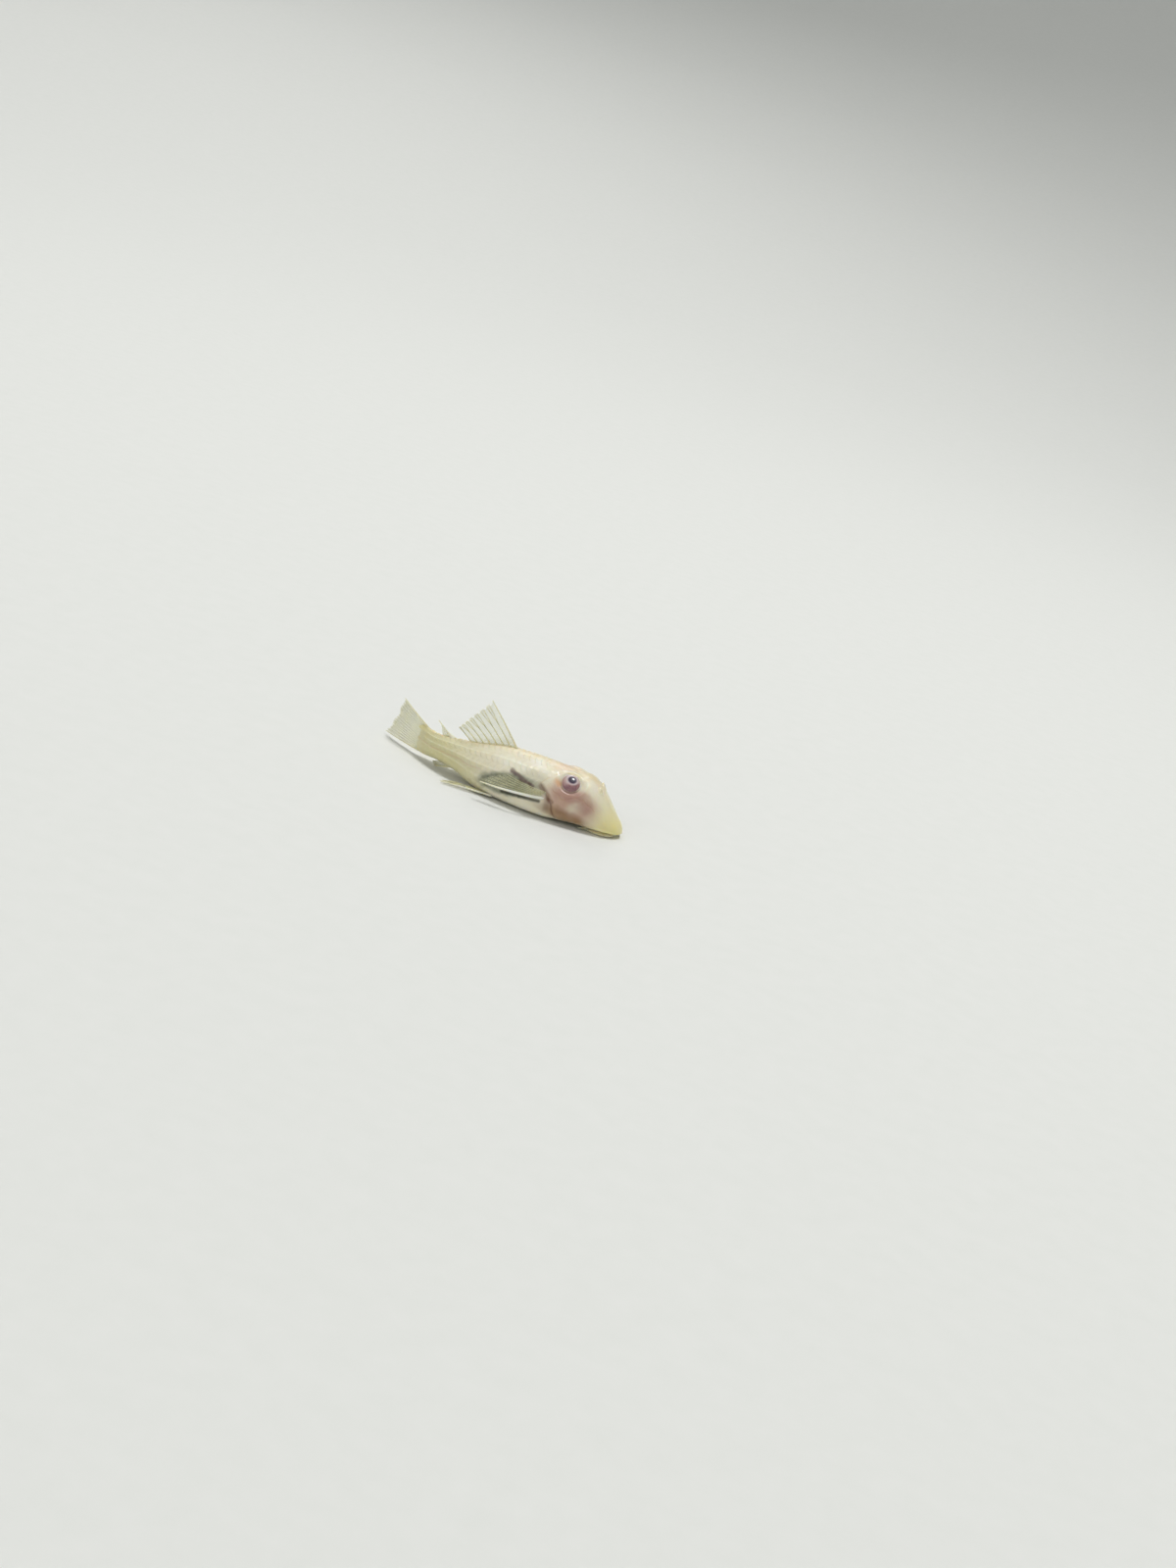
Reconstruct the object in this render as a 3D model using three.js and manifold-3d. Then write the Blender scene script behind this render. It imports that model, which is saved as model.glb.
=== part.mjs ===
// A juvenile albino bristlenose pleco at life size, resting on its belly with its tail bent to its left.
// Millimetres, +Z up, +X from the tail to the snout. The origin is the middle of the belly's flat.
// The fish is modelled straight, in places (s, t, z): s back from the snout along the spine, t to the
// fish's left, z above the ground. Every vertex is then carried to where the bent spine puts it.
import * as THREE from "three";
import { mergeVertices } from "three/addons/utils/BufferGeometryUtils.js";
import Module from "manifold-3d";

const wasm = await Module();
wasm.setup();

// Driving dimensions of the fish
const BODY_LENGTH = 15.3; // snout to the base of the tail fin
const BODY_DEPTH = 3.46; // at the dorsal fin's origin
const BODY_WIDTH = 4.7; // across the shoulders, just behind the gills
const EYE_RADIUS = 0.72;
const EYE_FLATNESS = 0.74; // the eye's depth over its radius
const EYE_GAP = 0.12; // clearance round the eye in its socket
const FIN_ROOT = 0.5; // a fin's thickness where it leaves the body
const FIN_EDGE = 0.28; // and at its free edge
const PLATE_RISE = 0.12; // how far a bony plate's rear edge stands off the skin
const GAP = 0.2; // clearance between neighbouring pieces, on a fish only 20 mm long
const GROUND = 0;

// Where the body is parted and where things sit, in mm back from the snout
const GILLS = 5.3;
const BELLY_MIDDLE = 7.6;
const TORSO_END = 11.9;
const DORSAL_ORIGIN = 8.5;
const DORSAL_END = 11.75;
const ADIPOSE_ORIGIN = 13.15;
const PECTORAL_ORIGIN = 5.6;
const PELVIC_ORIGIN = 9.1;
const ANAL_ORIGIN = 12.35;
const EYE_PLACE = [4.22, 1.26, 2.72]; // s, t, z of the left eye's centre
const EYE_AIM = [-0.1, 0.74, 0.66]; // the way that eye looks
const MOUTH_PLACE = 1.6;

// Each fin's first and last ray: long in mm, rise in degrees above the spine's line, splay in degrees out
// from the flank. out and high are where the ray leaves the body. foot is how far the bases reach back, and
// fall is below 1 where the rays shorten quickly at first.
const DORSAL = {
  rays: 8,
  fall: 0.85,
  bow: 0.1,
  first: { long: 3.6, rise: 39.5 },
  last: { long: 1.45, rise: 12 },
};
const ADIPOSE = { rays: 3, foot: 0.9, first: { long: 1.72, rise: 15 }, last: { long: 0.3, rise: 30 } };
const ANAL = { rays: 5, foot: 0.75, first: { long: 1.75, rise: -8.5 }, last: { long: 1.25, rise: -3 } };
const CAUDAL = { rays: 14, first: { long: 3, rise: 17 }, last: { long: 3.8, rise: -2 } };
const CAUDAL_INSET = 0.06; // the outer rays start this far inside the body's outline
const CAUDAL_FORK = 0.3; // how much longer the outer rays are
const PECTORAL = {
  rays: 7,
  foot: 0.1,
  fall: 1.2,
  bow: 0.1,
  first: { long: 4, rise: -3.5, splay: 3, out: 2.76, high: 1.42 },
  last: { long: 2.5, rise: 8, splay: -7, out: 2.82, high: 1.9 },
};
const PELVIC = {
  rays: 6,
  foot: 0.6,
  fall: 1.2,
  first: { long: 3, rise: -1.8, splay: 13, out: 2.06, high: 0.26 },
  last: { long: 2, rise: -1.8, splay: -5, out: 1.92, high: 0.26 },
};

// Mesh fineness
const RING_POINTS = 44;
const HEAD_RINGS = 26;
const PLATES_TORSO = 10;
const PLATES_TAIL = 6;
const COLUMNS_PER_RAY = 2;
const WELD = 1e-4;

const { clamp, lerp, degToRad, radToDeg, smoothstep } = THREE.MathUtils;

// A smooth curve through [place, value] knots that never overshoots them.
function curve(...knots) {
  const slope = knots.slice(1).map(([x, y], i) => (y - knots[i][1]) / (x - knots[i][0]));
  const tangent = knots.map((_, i) => {
    const before = slope[Math.max(i - 1, 0)];
    const after = slope[Math.min(i, slope.length - 1)];
    return before * after <= 0 ? 0 : (2 * before * after) / (before + after);
  });
  return (place) => {
    const x = clamp(place, knots[0][0], knots[knots.length - 1][0]);
    let i = 0;
    while (i < knots.length - 2 && x > knots[i + 1][0]) i++;
    const width = knots[i + 1][0] - knots[i][0];
    const u = (x - knots[i][0]) / width;
    const bow = width * u * (1 - u) * ((1 - u) * tangent[i] - u * tangent[i + 1]);
    return lerp(knots[i][1], knots[i + 1][1], u * u * (3 - 2 * u)) + bow;
  };
}

// The spine's heading in degrees: straight in the head, then turning to the fish's left.
const heading = curve([0, -1], [6, 0], [8.6, 4], [11.7, 12], [13.3, 20], [15.6, 31], [20, 42]);
const SPINE_STEP = 0.05;
const SPINE_REACH = 21;
const spine = [];
for (let s = 0, x = 0, y = 0; s < SPINE_REACH; s += SPINE_STEP) {
  spine.push([x, y]);
  const turned = degToRad(heading(s + SPINE_STEP / 2));
  x -= SPINE_STEP * Math.cos(turned);
  y += SPINE_STEP * Math.sin(turned);
}

function spinePoint(s) {
  const i = clamp(Math.floor(s / SPINE_STEP), 0, spine.length - 2);
  const u = s / SPINE_STEP - i;
  return [lerp(spine[i][0], spine[i + 1][0], u), lerp(spine[i][1], spine[i + 1][1], u)];
}

// Carries a place on the straight fish to the posed fish. Nothing passes below the ground.
const BELLY_POINT = spinePoint(BELLY_MIDDLE);
function pose([s, t, z]) {
  const [x, y] = spinePoint(s);
  const turned = degToRad(heading(s));
  return [
    x + t * Math.sin(turned) - BELLY_POINT[0],
    y + t * Math.cos(turned) - BELLY_POINT[1],
    Math.max(z, GROUND),
  ];
}

// The body's outline over s: back line, belly line, half width, and how high the widest line lies.
const backLine = curve(
  [0, 0.42], [0.22, 0.84], [0.65, 1.26], [1.2, 1.84], [1.75, 2.42], [2.5, 2.97], [3.4, 3.3], [4.6, 3.47],
  [6.2, 3.5], [DORSAL_ORIGIN, BODY_DEPTH], [DORSAL_END, 2.72], [13.2, 2.4], [14.8, 2.14], [BODY_LENGTH, 2.18],
);
const bellyLine = curve(
  [0, 0.3], [0.4, 0.2], [2.8, 0.2], [4.2, 0.12], [5.5, -0.04], [9.4, -0.04], [10.8, 0.08], [12.2, 0.42],
  [13.4, 0.5], [BODY_LENGTH, 0.32],
);
const halfWidth = curve(
  [0, 0.04], [0.12, 0.55], [0.5, 1.06], [1.2, 1.55], [2.2, 1.88], [3.4, 2.08], [4.8, 2.25],
  [6.2, BODY_WIDTH / 2], [8.2, 2.14], [10.2, 1.68], [12.2, 1.14], [14, 0.72], [14.9, 0.46],
  [BODY_LENGTH, 0.4],
);
const widestShare = curve([0, 0.3], [1.5, 0.27], [5, 0.3], [9, 0.34], [12.5, 0.44], [BODY_LENGTH, 0.5]);
const backFullness = curve([0, 2.1], [3, 2.35], [6, 2.2], [9, 1.9], [13, 1.9], [BODY_LENGTH, 2]);
const bellySquareness = curve([0, 2.2], [3, 3.2], [6, 3.4], [9.5, 3.2], [12, 2.4], [BODY_LENGTH, 2.1]);

// A point of the skin at s and angle (0 on the back, PI on the belly), raised outwards by rise.
function skin(s, angle, rise = 0) {
  const top = backLine(s);
  const bottom = bellyLine(s);
  const middle = lerp(bottom, top, widestShare(s));
  const at = (a) => {
    const up = Math.cos(a) >= 0;
    const power = 2 / (up ? backFullness(s) : bellySquareness(s));
    return [
      halfWidth(s) * Math.sign(Math.sin(a)) * Math.abs(Math.sin(a)) ** power,
      middle + (up ? top - middle : bottom - middle) * Math.abs(Math.cos(a)) ** power,
    ];
  };
  const [t, z] = at(angle);
  const NEAR = 0.05;
  const [t0, z0] = at(angle - NEAR);
  const [t1, z1] = at(angle + NEAR);
  const long = Math.hypot(t1 - t0, z1 - z0);
  return [s, t - (rise * (z1 - z0)) / long, z + (rise * (t1 - t0)) / long];
}

// The gill cover's rear edge bows back along the flank: how far, at an angle round the body.
const GILL_BOW = 0.45;
const GILL_BOW_ANGLE = 84;
const GILL_BOW_WIDTH = 34;
function gillEdge(angle) {
  const degrees = Math.abs(radToDeg(Math.atan2(Math.sin(angle), Math.cos(angle))));
  return GILLS + GILL_BOW * Math.exp(-(((degrees - GILL_BOW_ANGLE) / GILL_BOW_WIDTH) ** 2));
}

// A manifold from a closed geometry in straight-fish places, posed, welded and turned face out.
function solid(geometry) {
  const places = geometry.attributes.position;
  for (let i = 0; i < places.count; i++)
    places.setXYZ(i, ...pose([places.getX(i), places.getY(i), places.getZ(i)]));
  geometry.deleteAttribute("normal");
  geometry.deleteAttribute("uv");
  const welded = mergeVertices(geometry, WELD);
  const triangles = new Uint32Array(welded.index.array);
  const vertProperties = welded.attributes.position.array;
  const build = (triVerts) =>
    new wasm.Manifold(new wasm.Mesh({ numProp: 3, vertProperties, triVerts }));
  const made = build(triangles);
  return made.volume() > 0 ? made : build(triangles.reverse());
}

function fromLists(points, faces) {
  const geometry = new THREE.BufferGeometry();
  geometry.setAttribute("position", new THREE.Float32BufferAttribute(points.flat(), 3));
  geometry.setIndex(faces);
  return solid(geometry);
}

// The triangles between each ring of points and the next, split by the rule that the caller gives.
function wall(rings, splitsForward) {
  const n = rings[0].length;
  const faces = [];
  for (let r = 0; r < rings.length - 1; r++)
    for (let i = 0; i < n; i++) {
      const j = (i + 1) % n;
      const [a, b, c, d] = [r * n + i, r * n + j, (r + 1) * n + j, (r + 1) * n + i];
      faces.push(...(splitsForward(i) ? [a, b, c, a, c, d] : [a, b, d, b, c, d]));
    }
  return faces;
}

// A closed body through rings of points, each end closed by a fan.
function loft(rings) {
  const n = rings[0].length;
  const points = rings.flat();
  const faces = wall(rings, () => true);
  const middle = (ring) => [0, 1, 2].map((k) => ring.reduce((sum, p) => sum + p[k], 0) / n);
  const front = points.push(middle(rings[0])) - 1;
  const back = points.push(middle(rings[rings.length - 1])) - 1;
  const last = (rings.length - 1) * n;
  for (let i = 0; i < n; i++) {
    const j = (i + 1) % n;
    faces.push(front, j, i, back, last + i, last + j);
  }
  return fromLists(points, faces);
}

// A closed sheet through rings that run along one face and back along the other, split alike on both.
function sheet(rings) {
  const n = rings[0].length;
  const wide = n / 2;
  const faces = wall(rings, (i) => i < wide);
  const last = (rings.length - 1) * n;
  for (let i = 0; i < wide - 1; i++) {
    const [a, b, c, d] = [i, i + 1, n - 2 - i, n - 1 - i];
    faces.push(a, c, b, a, d, c);
    faces.push(last + a, last + b, last + c, last + a, last + c, last + d);
  }
  return fromLists(rings.flat(), faces);
}

// Turns a geometry's +Z to aim and sets it at place, both on the straight fish.
function setAt(geometry, place, aim = [0, 0, 1]) {
  const turn = new THREE.Quaternion().setFromUnitVectors(
    new THREE.Vector3(0, 0, 1),
    new THREE.Vector3(...aim).normalize(),
  );
  return solid(geometry.applyQuaternion(turn).translate(...place));
}

const mirrored = ([s, t, z], side) => [s, t * side, z];
const plus = (a, b, share = 1) => a.map((v, k) => v + b[k] * share);

// The eye: a ball flattened along the way that it looks. Clearance makes the socket that it sits in.
function eyeball(side, clearance = 0) {
  const radius = EYE_RADIUS + clearance;
  const depth = EYE_RADIUS * EYE_FLATNESS + clearance;
  const geometry = new THREE.SphereGeometry(1, 24, 14).scale(radius, radius, depth);
  return setAt(geometry, mirrored(EYE_PLACE, side), mirrored(EYE_AIM, side));
}

// The raised bony rim round an eye
function orbit(side) {
  const RIM = 0.12;
  const RIM_OUT = 0.1; // the rim's middle line, out from the eye's centre
  const aim = mirrored(EYE_AIM, side);
  const geometry = new THREE.TorusGeometry(EYE_RADIUS + EYE_GAP + RIM * 0.4, RIM, 6, 24);
  return setAt(geometry, plus(mirrored(EYE_PLACE, side), aim, RIM_OUT), aim);
}

// A nostril: a low flap of skin with a pit in its front. place is s and t, at is from the flap to the pit.
const NOSTRIL = { place: [2.15, 0.62], radius: 0.23, shape: [0.9, 1, 1.25], aim: [-0.35, 0, 1] };
const PIT = { radius: 0.11, shape: [1, 1, 1.6], at: [-0.14, 0, 0.16], aim: [-0.6, 0, 0.8] };
function nostrilPlace(side) {
  const [s, t] = NOSTRIL.place;
  const angle = side * Math.asin((t / halfWidth(s)) ** (backFullness(s) / 2));
  return skin(s, angle, NOSTRIL.radius / 4);
}
function nostrilFlap(side) {
  const geometry = new THREE.SphereGeometry(NOSTRIL.radius, 12, 8).scale(...NOSTRIL.shape);
  return setAt(geometry, nostrilPlace(side), NOSTRIL.aim);
}
function nostrilPit(side) {
  const geometry = new THREE.SphereGeometry(PIT.radius, 10, 6).scale(...PIT.shape);
  return setAt(geometry, plus(nostrilPlace(side), PIT.at), PIT.aim);
}

// The cheek swells a little below and behind the eye
const CHEEK = { s: 4.1, degrees: 96, rise: 0.1, long: 0.9, wide: 24 };
function cheek(s, angle) {
  const degrees = Math.abs(radToDeg(Math.atan2(Math.sin(angle), Math.cos(angle))));
  const along = (s - CHEEK.s) / CHEEK.long;
  const round = (degrees - CHEEK.degrees) / CHEEK.wide;
  return CHEEK.rise * Math.exp(-along * along - round * round);
}

// The head: snout to gill cover, with sockets, nostrils and a seat for the mouth
function makeHead() {
  const FIRST_RING = 0.004;
  const CROWDING = 1.6; // rings stand closer at the snout
  const rings = [];
  for (let i = 0; i <= HEAD_RINGS; i++) {
    const share = lerp(FIRST_RING, 1, (i / HEAD_RINGS) ** CROWDING);
    const ring = [];
    for (let j = 0; j < RING_POINTS; j++) {
      const angle = (j / RING_POINTS) * 2 * Math.PI;
      const s = share * lerp(GILLS, gillEdge(angle), share ** 3);
      ring.push(skin(s, angle, cheek(s, angle)));
    }
    rings.push(ring);
  }
  let head = loft(rings);
  for (const side of [1, -1]) {
    head = head.add(orbit(side)).subtract(eyeball(side, EYE_GAP));
    head = head.add(nostrilFlap(side)).subtract(nostrilPit(side));
  }
  return head.subtract(mouthDisc(GAP));
}

// The sucker mouth: a broad lip that lies on the ground, hollow inside, seated in the snout's underside
const LIP_WIDE = 1.42;
const LIP_LONG = 1.22;
function mouthDisc(clearance = 0) {
  const TOP = 0.3;
  const edge = 1 + clearance / LIP_WIDE;
  const hollow = clearance ? 0 : 0.14;
  const profile = [
    [0, hollow], [0.4, hollow * 0.9], [0.58, hollow * 0.3], [0.66, 0], [0.9 * edge, 0], [edge, 0.07],
    [edge, 0.16 + clearance], [0.9 * edge, TOP + clearance], [0, TOP + clearance],
  ].map(([r, z]) => new THREE.Vector2(r, z));
  const geometry = new THREE.LatheGeometry(profile, 32).rotateX(Math.PI / 2);
  return setAt(geometry.scale(LIP_LONG, LIP_WIDE, 1), [MOUTH_PLACE, 0, 0]);
}

// A short barbel at each corner of the mouth. back and out are shares of the lip's half length and width.
const BARBEL = { long: 0.55, thick: 0.13, back: 0.7, out: 0.8, high: 0.14, aim: [0.75, 0.66, 0] };
function makeMouth() {
  let mouth = mouthDisc();
  for (const side of [1, -1]) {
    const geometry = new THREE.ConeGeometry(BARBEL.thick, BARBEL.long, 8).rotateX(Math.PI / 2);
    const place = [MOUTH_PLACE + LIP_LONG * BARBEL.back, LIP_WIDE * BARBEL.out, BARBEL.high];
    mouth = mouth.add(setAt(geometry, mirrored(place, side), mirrored(BARBEL.aim, side)));
  }
  return mouth;
}

// Five rows of plates on each side, by the angle of each row's keel from the middle of the back, in degrees.
const KEELS = [14, 40, 66, 90, 114];
const ROW_HALF = 13;
function rowShape(angle) {
  const degrees = Math.abs(radToDeg(Math.atan2(Math.sin(angle), Math.cos(angle))));
  const nearest = Math.min(...KEELS.map((keel) => Math.abs(degrees - keel)));
  return nearest < ROW_HALF ? Math.cos((nearest / ROW_HALF) * (Math.PI / 2)) ** 0.7 : 0;
}

// A stretch of the body in plates. Each plate is low in front and stands off at its rear edge, which
// runs out to a point on the row's keel. startEdge gives the first ring's place at each angle.
function makePlated(startEdge, end, plates) {
  const POINT = 0.24; // how far a plate's point reaches past its row's edges
  const SINK = 0.03; // length of the step down to the next plate
  const [LOW, MIDDLE, HIGH] = [0.2, 0.6, 1]; // shares of the full rise along a plate
  const FADE_IN = 0.7; // the first plates rise from the smooth skin over this length
  const rings = [];
  const addRing = (share, rise, point) => {
    const ring = [];
    for (let j = 0; j < RING_POINTS; j++) {
      const angle = (j / RING_POINTS) * 2 * Math.PI;
      const start = startEdge(angle);
      const shape = rowShape(angle);
      const s = lerp(start, end, share) + point * POINT * (shape - 0.5);
      const fade = smoothstep(s, GILLS + GAP, GILLS + GAP + FADE_IN);
      ring.push(skin(s, angle, PLATE_RISE * rise * shape * fade));
    }
    rings.push(ring);
  };
  const sink = SINK / (end - startEdge(0));
  for (let p = 0; p < plates; p++) {
    const isFirst = p === 0;
    const isLast = p === plates - 1;
    addRing(p / plates + (isFirst ? 0 : sink), isFirst ? MIDDLE : LOW, isFirst ? 0 : 1);
    addRing((p + 0.5) / plates, MIDDLE, 0.8);
    addRing((p + 1) / plates - (isLast ? 0 : sink), isLast ? MIDDLE : HIGH, isLast ? 0 : 1);
  }
  return loft(rings);
}

// A fin as a fan of rays. Each ray has a base and a tip; bow carries its middle aside. The rays stand as
// ridges on both faces, and across is the way that the fin's thickness is measured.
function makeFin(rays, { across, rows = 7, root = FIN_ROOT, edge = FIN_EDGE, notch = 0.06 }) {
  const WEB = 0.8; // the web's thickness between rays, as a share of that at a ray
  const columns = (rays.length - 1) * COLUMNS_PER_RAY;
  const between = (name, u) => {
    const i = clamp(Math.floor(u), 0, rays.length - 2);
    const [a, b] = [rays[i][name] ?? [0, 0, 0], rays[i + 1][name] ?? [0, 0, 0]];
    return a.map((v, k) => lerp(v, b[k], u - i));
  };
  const rings = [];
  for (let r = 0; r <= rows; r++) {
    const faces = [[], []];
    for (let c = 0; c <= columns; c++) {
      const u = c / COLUMNS_PER_RAY;
      const ridge = 0.5 + 0.5 * Math.cos(u * 2 * Math.PI);
      const v = (r / rows) * (1 - notch * (1 - ridge));
      const line = plus(between("base", u), plus(between("tip", u), between("base", u), -1), v);
      const middle = plus(line, between("bow", u), 4 * v * (1 - v));
      const half = (lerp(root, edge, v) * lerp(WEB, 1, ridge)) / 2;
      faces[0].push(plus(middle, across, half));
      faces[1].push(plus(middle, across, -half));
    }
    rings.push([...faces[0], ...faces[1].reverse()]);
  }
  return sheet(rings);
}

// A step of a given length in the upright plane of the spine, rising by an angle in degrees.
function rising(length, degrees) {
  const up = degToRad(degrees);
  return [length * Math.cos(up), 0, length * Math.sin(up)];
}

// A step back along the flank: out from the fish's side and up, both in degrees.
function backward(length, out, up, side) {
  const level = length * Math.cos(degToRad(up));
  return [
    level * Math.cos(degToRad(out)),
    side * level * Math.sin(degToRad(out)),
    length * Math.sin(degToRad(up)),
  ];
}

// A fin's rays: make is given the ray's share from first to last, and its own measures.
function raysOf(fin, make) {
  return Array.from({ length: fin.rays }, (_, i) => {
    const u = i / (fin.rays - 1);
    const own = { ...fin.first };
    for (const key in own) own[key] = lerp(fin.first[key], fin.last[key], u);
    own.long = lerp(fin.first.long, fin.last.long, u ** (fin.fall ?? 1));
    return make(u, own);
  });
}

// The rays of an upright fin. foot gives the base of the ray at a share from first to last.
function uprightRays(fin, foot) {
  return raysOf(fin, (u, { long, rise }) => {
    const base = foot(u);
    return { base, tip: plus(base, rising(long, rise)), bow: [0, 0, fin.bow ?? 0] };
  });
}

// The rays of a paired fin, on one side of the body.
function pairedRays(fin, origin, side) {
  return raysOf(fin, (u, { long, rise, splay, out, high }) => {
    const base = [origin + fin.foot * u, side * out, high];
    return { base, tip: plus(base, backward(long, splay, rise, side)), bow: [0, side * (fin.bow ?? 0), 0] };
  });
}

const SIDEWAYS = [0, 1, 0];

// The dorsal fin: one spine and seven rays, lower and shorter towards the tail.
function makeDorsal() {
  const rays = uprightRays(DORSAL, (u) => {
    const s = lerp(DORSAL_ORIGIN, DORSAL_END, u);
    return [s, 0, backLine(s) + GAP];
  });
  return makeFin(rays, { across: SIDEWAYS, rows: 8 });
}

// The adipose fin: a short spine that points back, with a small web under it.
function makeAdipose() {
  const rays = uprightRays(ADIPOSE, (u) => {
    const s = ADIPOSE_ORIGIN + ADIPOSE.foot * u;
    return [s, 0, backLine(s) + GAP];
  });
  return makeFin(rays, { across: SIDEWAYS, rows: 5, notch: 0 });
}

// The tail fin: a fan of rays from the end of the spine, longer below than above.
function makeCaudal() {
  const s = BODY_LENGTH + GAP;
  const rays = raysOf(CAUDAL, (u, { long, rise }) => {
    const base = [s, 0, lerp(backLine(s) - CAUDAL_INSET, bellyLine(s) + CAUDAL_INSET, u)];
    return { base, tip: plus(base, rising(long + CAUDAL_FORK * (2 * u - 1) ** 2, rise)) };
  });
  return makeFin(rays, { across: SIDEWAYS, rows: 8 });
}

// The anal fin: five short rays folded back along the ground.
function makeAnal() {
  const rays = uprightRays(ANAL, (u) => {
    const s = ANAL_ORIGIN + ANAL.foot * u;
    return [s, 0, bellyLine(s) - GAP];
  });
  return makeFin(rays, { across: SIDEWAYS, rows: 5, root: 0.42 });
}

// A pectoral fin folded back along the flank: the spine lies low and outside, the rays rise towards the body.
function makePectoral(side) {
  return makeFin(pairedRays(PECTORAL, PECTORAL_ORIGIN, side), { across: [0, side * 0.92, 0.38], rows: 8 });
}

// A pelvic fin laid out on the ground beside the belly.
function makePelvic(side) {
  return makeFin(pairedRays(PELVIC, PELVIC_ORIGIN, side), { across: [0, 0, 1], rows: 6, edge: 0.34 });
}

// Materials
const skinMaterial = new THREE.MeshStandardMaterial({ color: 0xe6dcb8, roughness: 0.45 });
const lipMaterial = new THREE.MeshStandardMaterial({ color: 0xe2cf9a, roughness: 0.5 });
const finMaterial = new THREE.MeshStandardMaterial({ color: 0xdfe0a8, roughness: 0.35 });
const eyeMaterial = new THREE.MeshStandardMaterial({ color: 0x7a5668, roughness: 0.15 });

// Adds a named mesh made from a manifold's largest closed surface.
const fish = new THREE.Group();
function add(name, body, material) {
  const largest = body.decompose().reduce((a, b) => (a.volume() > b.volume() ? a : b));
  const mesh = largest.getMesh();
  const positions = new Float32Array(mesh.numVert * 3);
  for (let i = 0; i < mesh.numVert; i++)
    positions.set(mesh.vertProperties.subarray(i * mesh.numProp, i * mesh.numProp + 3), i * 3);
  const geometry = new THREE.BufferGeometry();
  geometry.setAttribute("position", new THREE.BufferAttribute(positions, 3));
  geometry.setIndex(new THREE.BufferAttribute(mesh.triVerts, 1));
  geometry.computeVertexNormals();
  const made = new THREE.Mesh(geometry, material);
  made.name = name;
  fish.add(made);
}

add("head", makeHead(), skinMaterial);
add("torso", makePlated((angle) => gillEdge(angle) + GAP, TORSO_END, PLATES_TORSO), skinMaterial);
add("tail", makePlated(() => TORSO_END + GAP, BODY_LENGTH, PLATES_TAIL), skinMaterial);
add("sucker_mouth", makeMouth(), lipMaterial);
add("dorsal_fin", makeDorsal(), finMaterial);
add("adipose_fin", makeAdipose(), finMaterial);
add("caudal_fin", makeCaudal(), finMaterial);
add("anal_fin", makeAnal(), finMaterial);
for (const [name, side] of [["left", 1], ["right", -1]]) {
  add(`eye_${name}`, eyeball(side), eyeMaterial);
  add(`pectoral_fin_${name}`, makePectoral(side), finMaterial);
  add(`pelvic_fin_${name}`, makePelvic(side), finMaterial);
}

export default fish;
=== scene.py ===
"""A juvenile albino bristlenose pleco, 20 mm long, resting on its belly with its tail bent to its left."""
import math

import bpy
import numpy as np
from mathutils import Matrix, Vector


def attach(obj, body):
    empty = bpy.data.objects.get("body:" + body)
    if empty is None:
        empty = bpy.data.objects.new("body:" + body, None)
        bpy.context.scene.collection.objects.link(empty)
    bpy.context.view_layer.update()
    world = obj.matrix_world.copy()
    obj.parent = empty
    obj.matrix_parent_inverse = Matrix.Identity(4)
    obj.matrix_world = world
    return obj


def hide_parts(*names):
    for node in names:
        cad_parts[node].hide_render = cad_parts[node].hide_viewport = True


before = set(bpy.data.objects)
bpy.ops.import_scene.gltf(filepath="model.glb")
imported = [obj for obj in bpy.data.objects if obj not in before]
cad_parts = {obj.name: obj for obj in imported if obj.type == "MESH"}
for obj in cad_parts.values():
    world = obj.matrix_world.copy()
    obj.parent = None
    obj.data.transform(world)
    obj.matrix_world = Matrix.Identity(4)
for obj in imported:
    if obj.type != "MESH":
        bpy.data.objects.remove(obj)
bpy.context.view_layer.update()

MM = 0.001

# Driving dimensions, in millimetres. The fish is made straight, in places (s, t, z): s back from the snout
# along the spine, t to the fish's left, z above the ground. pose() then bends it.
BODY_LENGTH = 15.3  # snout to the base of the tail fin
BODY_DEPTH = 3.46  # at the dorsal fin's origin
BODY_WIDTH = 4.7  # across the shoulders
GILLS = 5.3
BELLY_MIDDLE = 7.6
DORSAL_ORIGIN, DORSAL_END = 8.5, 11.75
ADIPOSE_ORIGIN = 13.15
PECTORAL_ORIGIN = 5.6
PELVIC_ORIGIN = 9.1
ANAL_ORIGIN = 12.35
EYE_PLACE = (4.22, 1.26, 2.72)
EYE_AIM = (-0.1, 0.74, 0.66)
EYE_RADIUS = 0.72
EYE_DEPTH = EYE_RADIUS * 0.74  # the globe is flattened
NOSTRIL_PLACE = (2.15, 0.62)
MOUTH_PLACE = 1.6
LIP_WIDE, LIP_LONG = 1.42, 1.22
GAP = 0.2  # the solids' clearance, kept in the reach of the fins
ROOTED = 0.12  # how far a fin's root is sunk into the flesh

# Each fin's first and last ray: long in mm, rise in degrees above the spine's line, splay in degrees out from
# the flank. out and high are where the ray leaves the body. foot is how far the bases reach back, fall is
# below 1 where the rays shorten quickly at first, thick is a soft ray's radius, and tuck is how far a root is
# drawn into the flank. The pectoral fins stand 0.1 mm higher here than in the solids.
DORSAL = dict(rays=8, fall=0.85, thick=0.045, first=dict(long=3.6, rise=39.5), last=dict(long=1.45, rise=12))
ADIPOSE = dict(rays=4, foot=0.9, first=dict(long=1.72, rise=15), last=dict(long=0.3, rise=30))
ANAL = dict(rays=5, foot=0.75, thick=0.035, first=dict(long=1.75, rise=-8.5), last=dict(long=1.25, rise=-3))
CAUDAL = dict(rays=16, thick=0.034, first=dict(long=3, rise=17), last=dict(long=3.8, rise=-2))
CAUDAL_INSET = 0.06  # the outer rays start this far inside the body's outline
CAUDAL_FORK = 0.3  # how much longer the outer rays are
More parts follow.
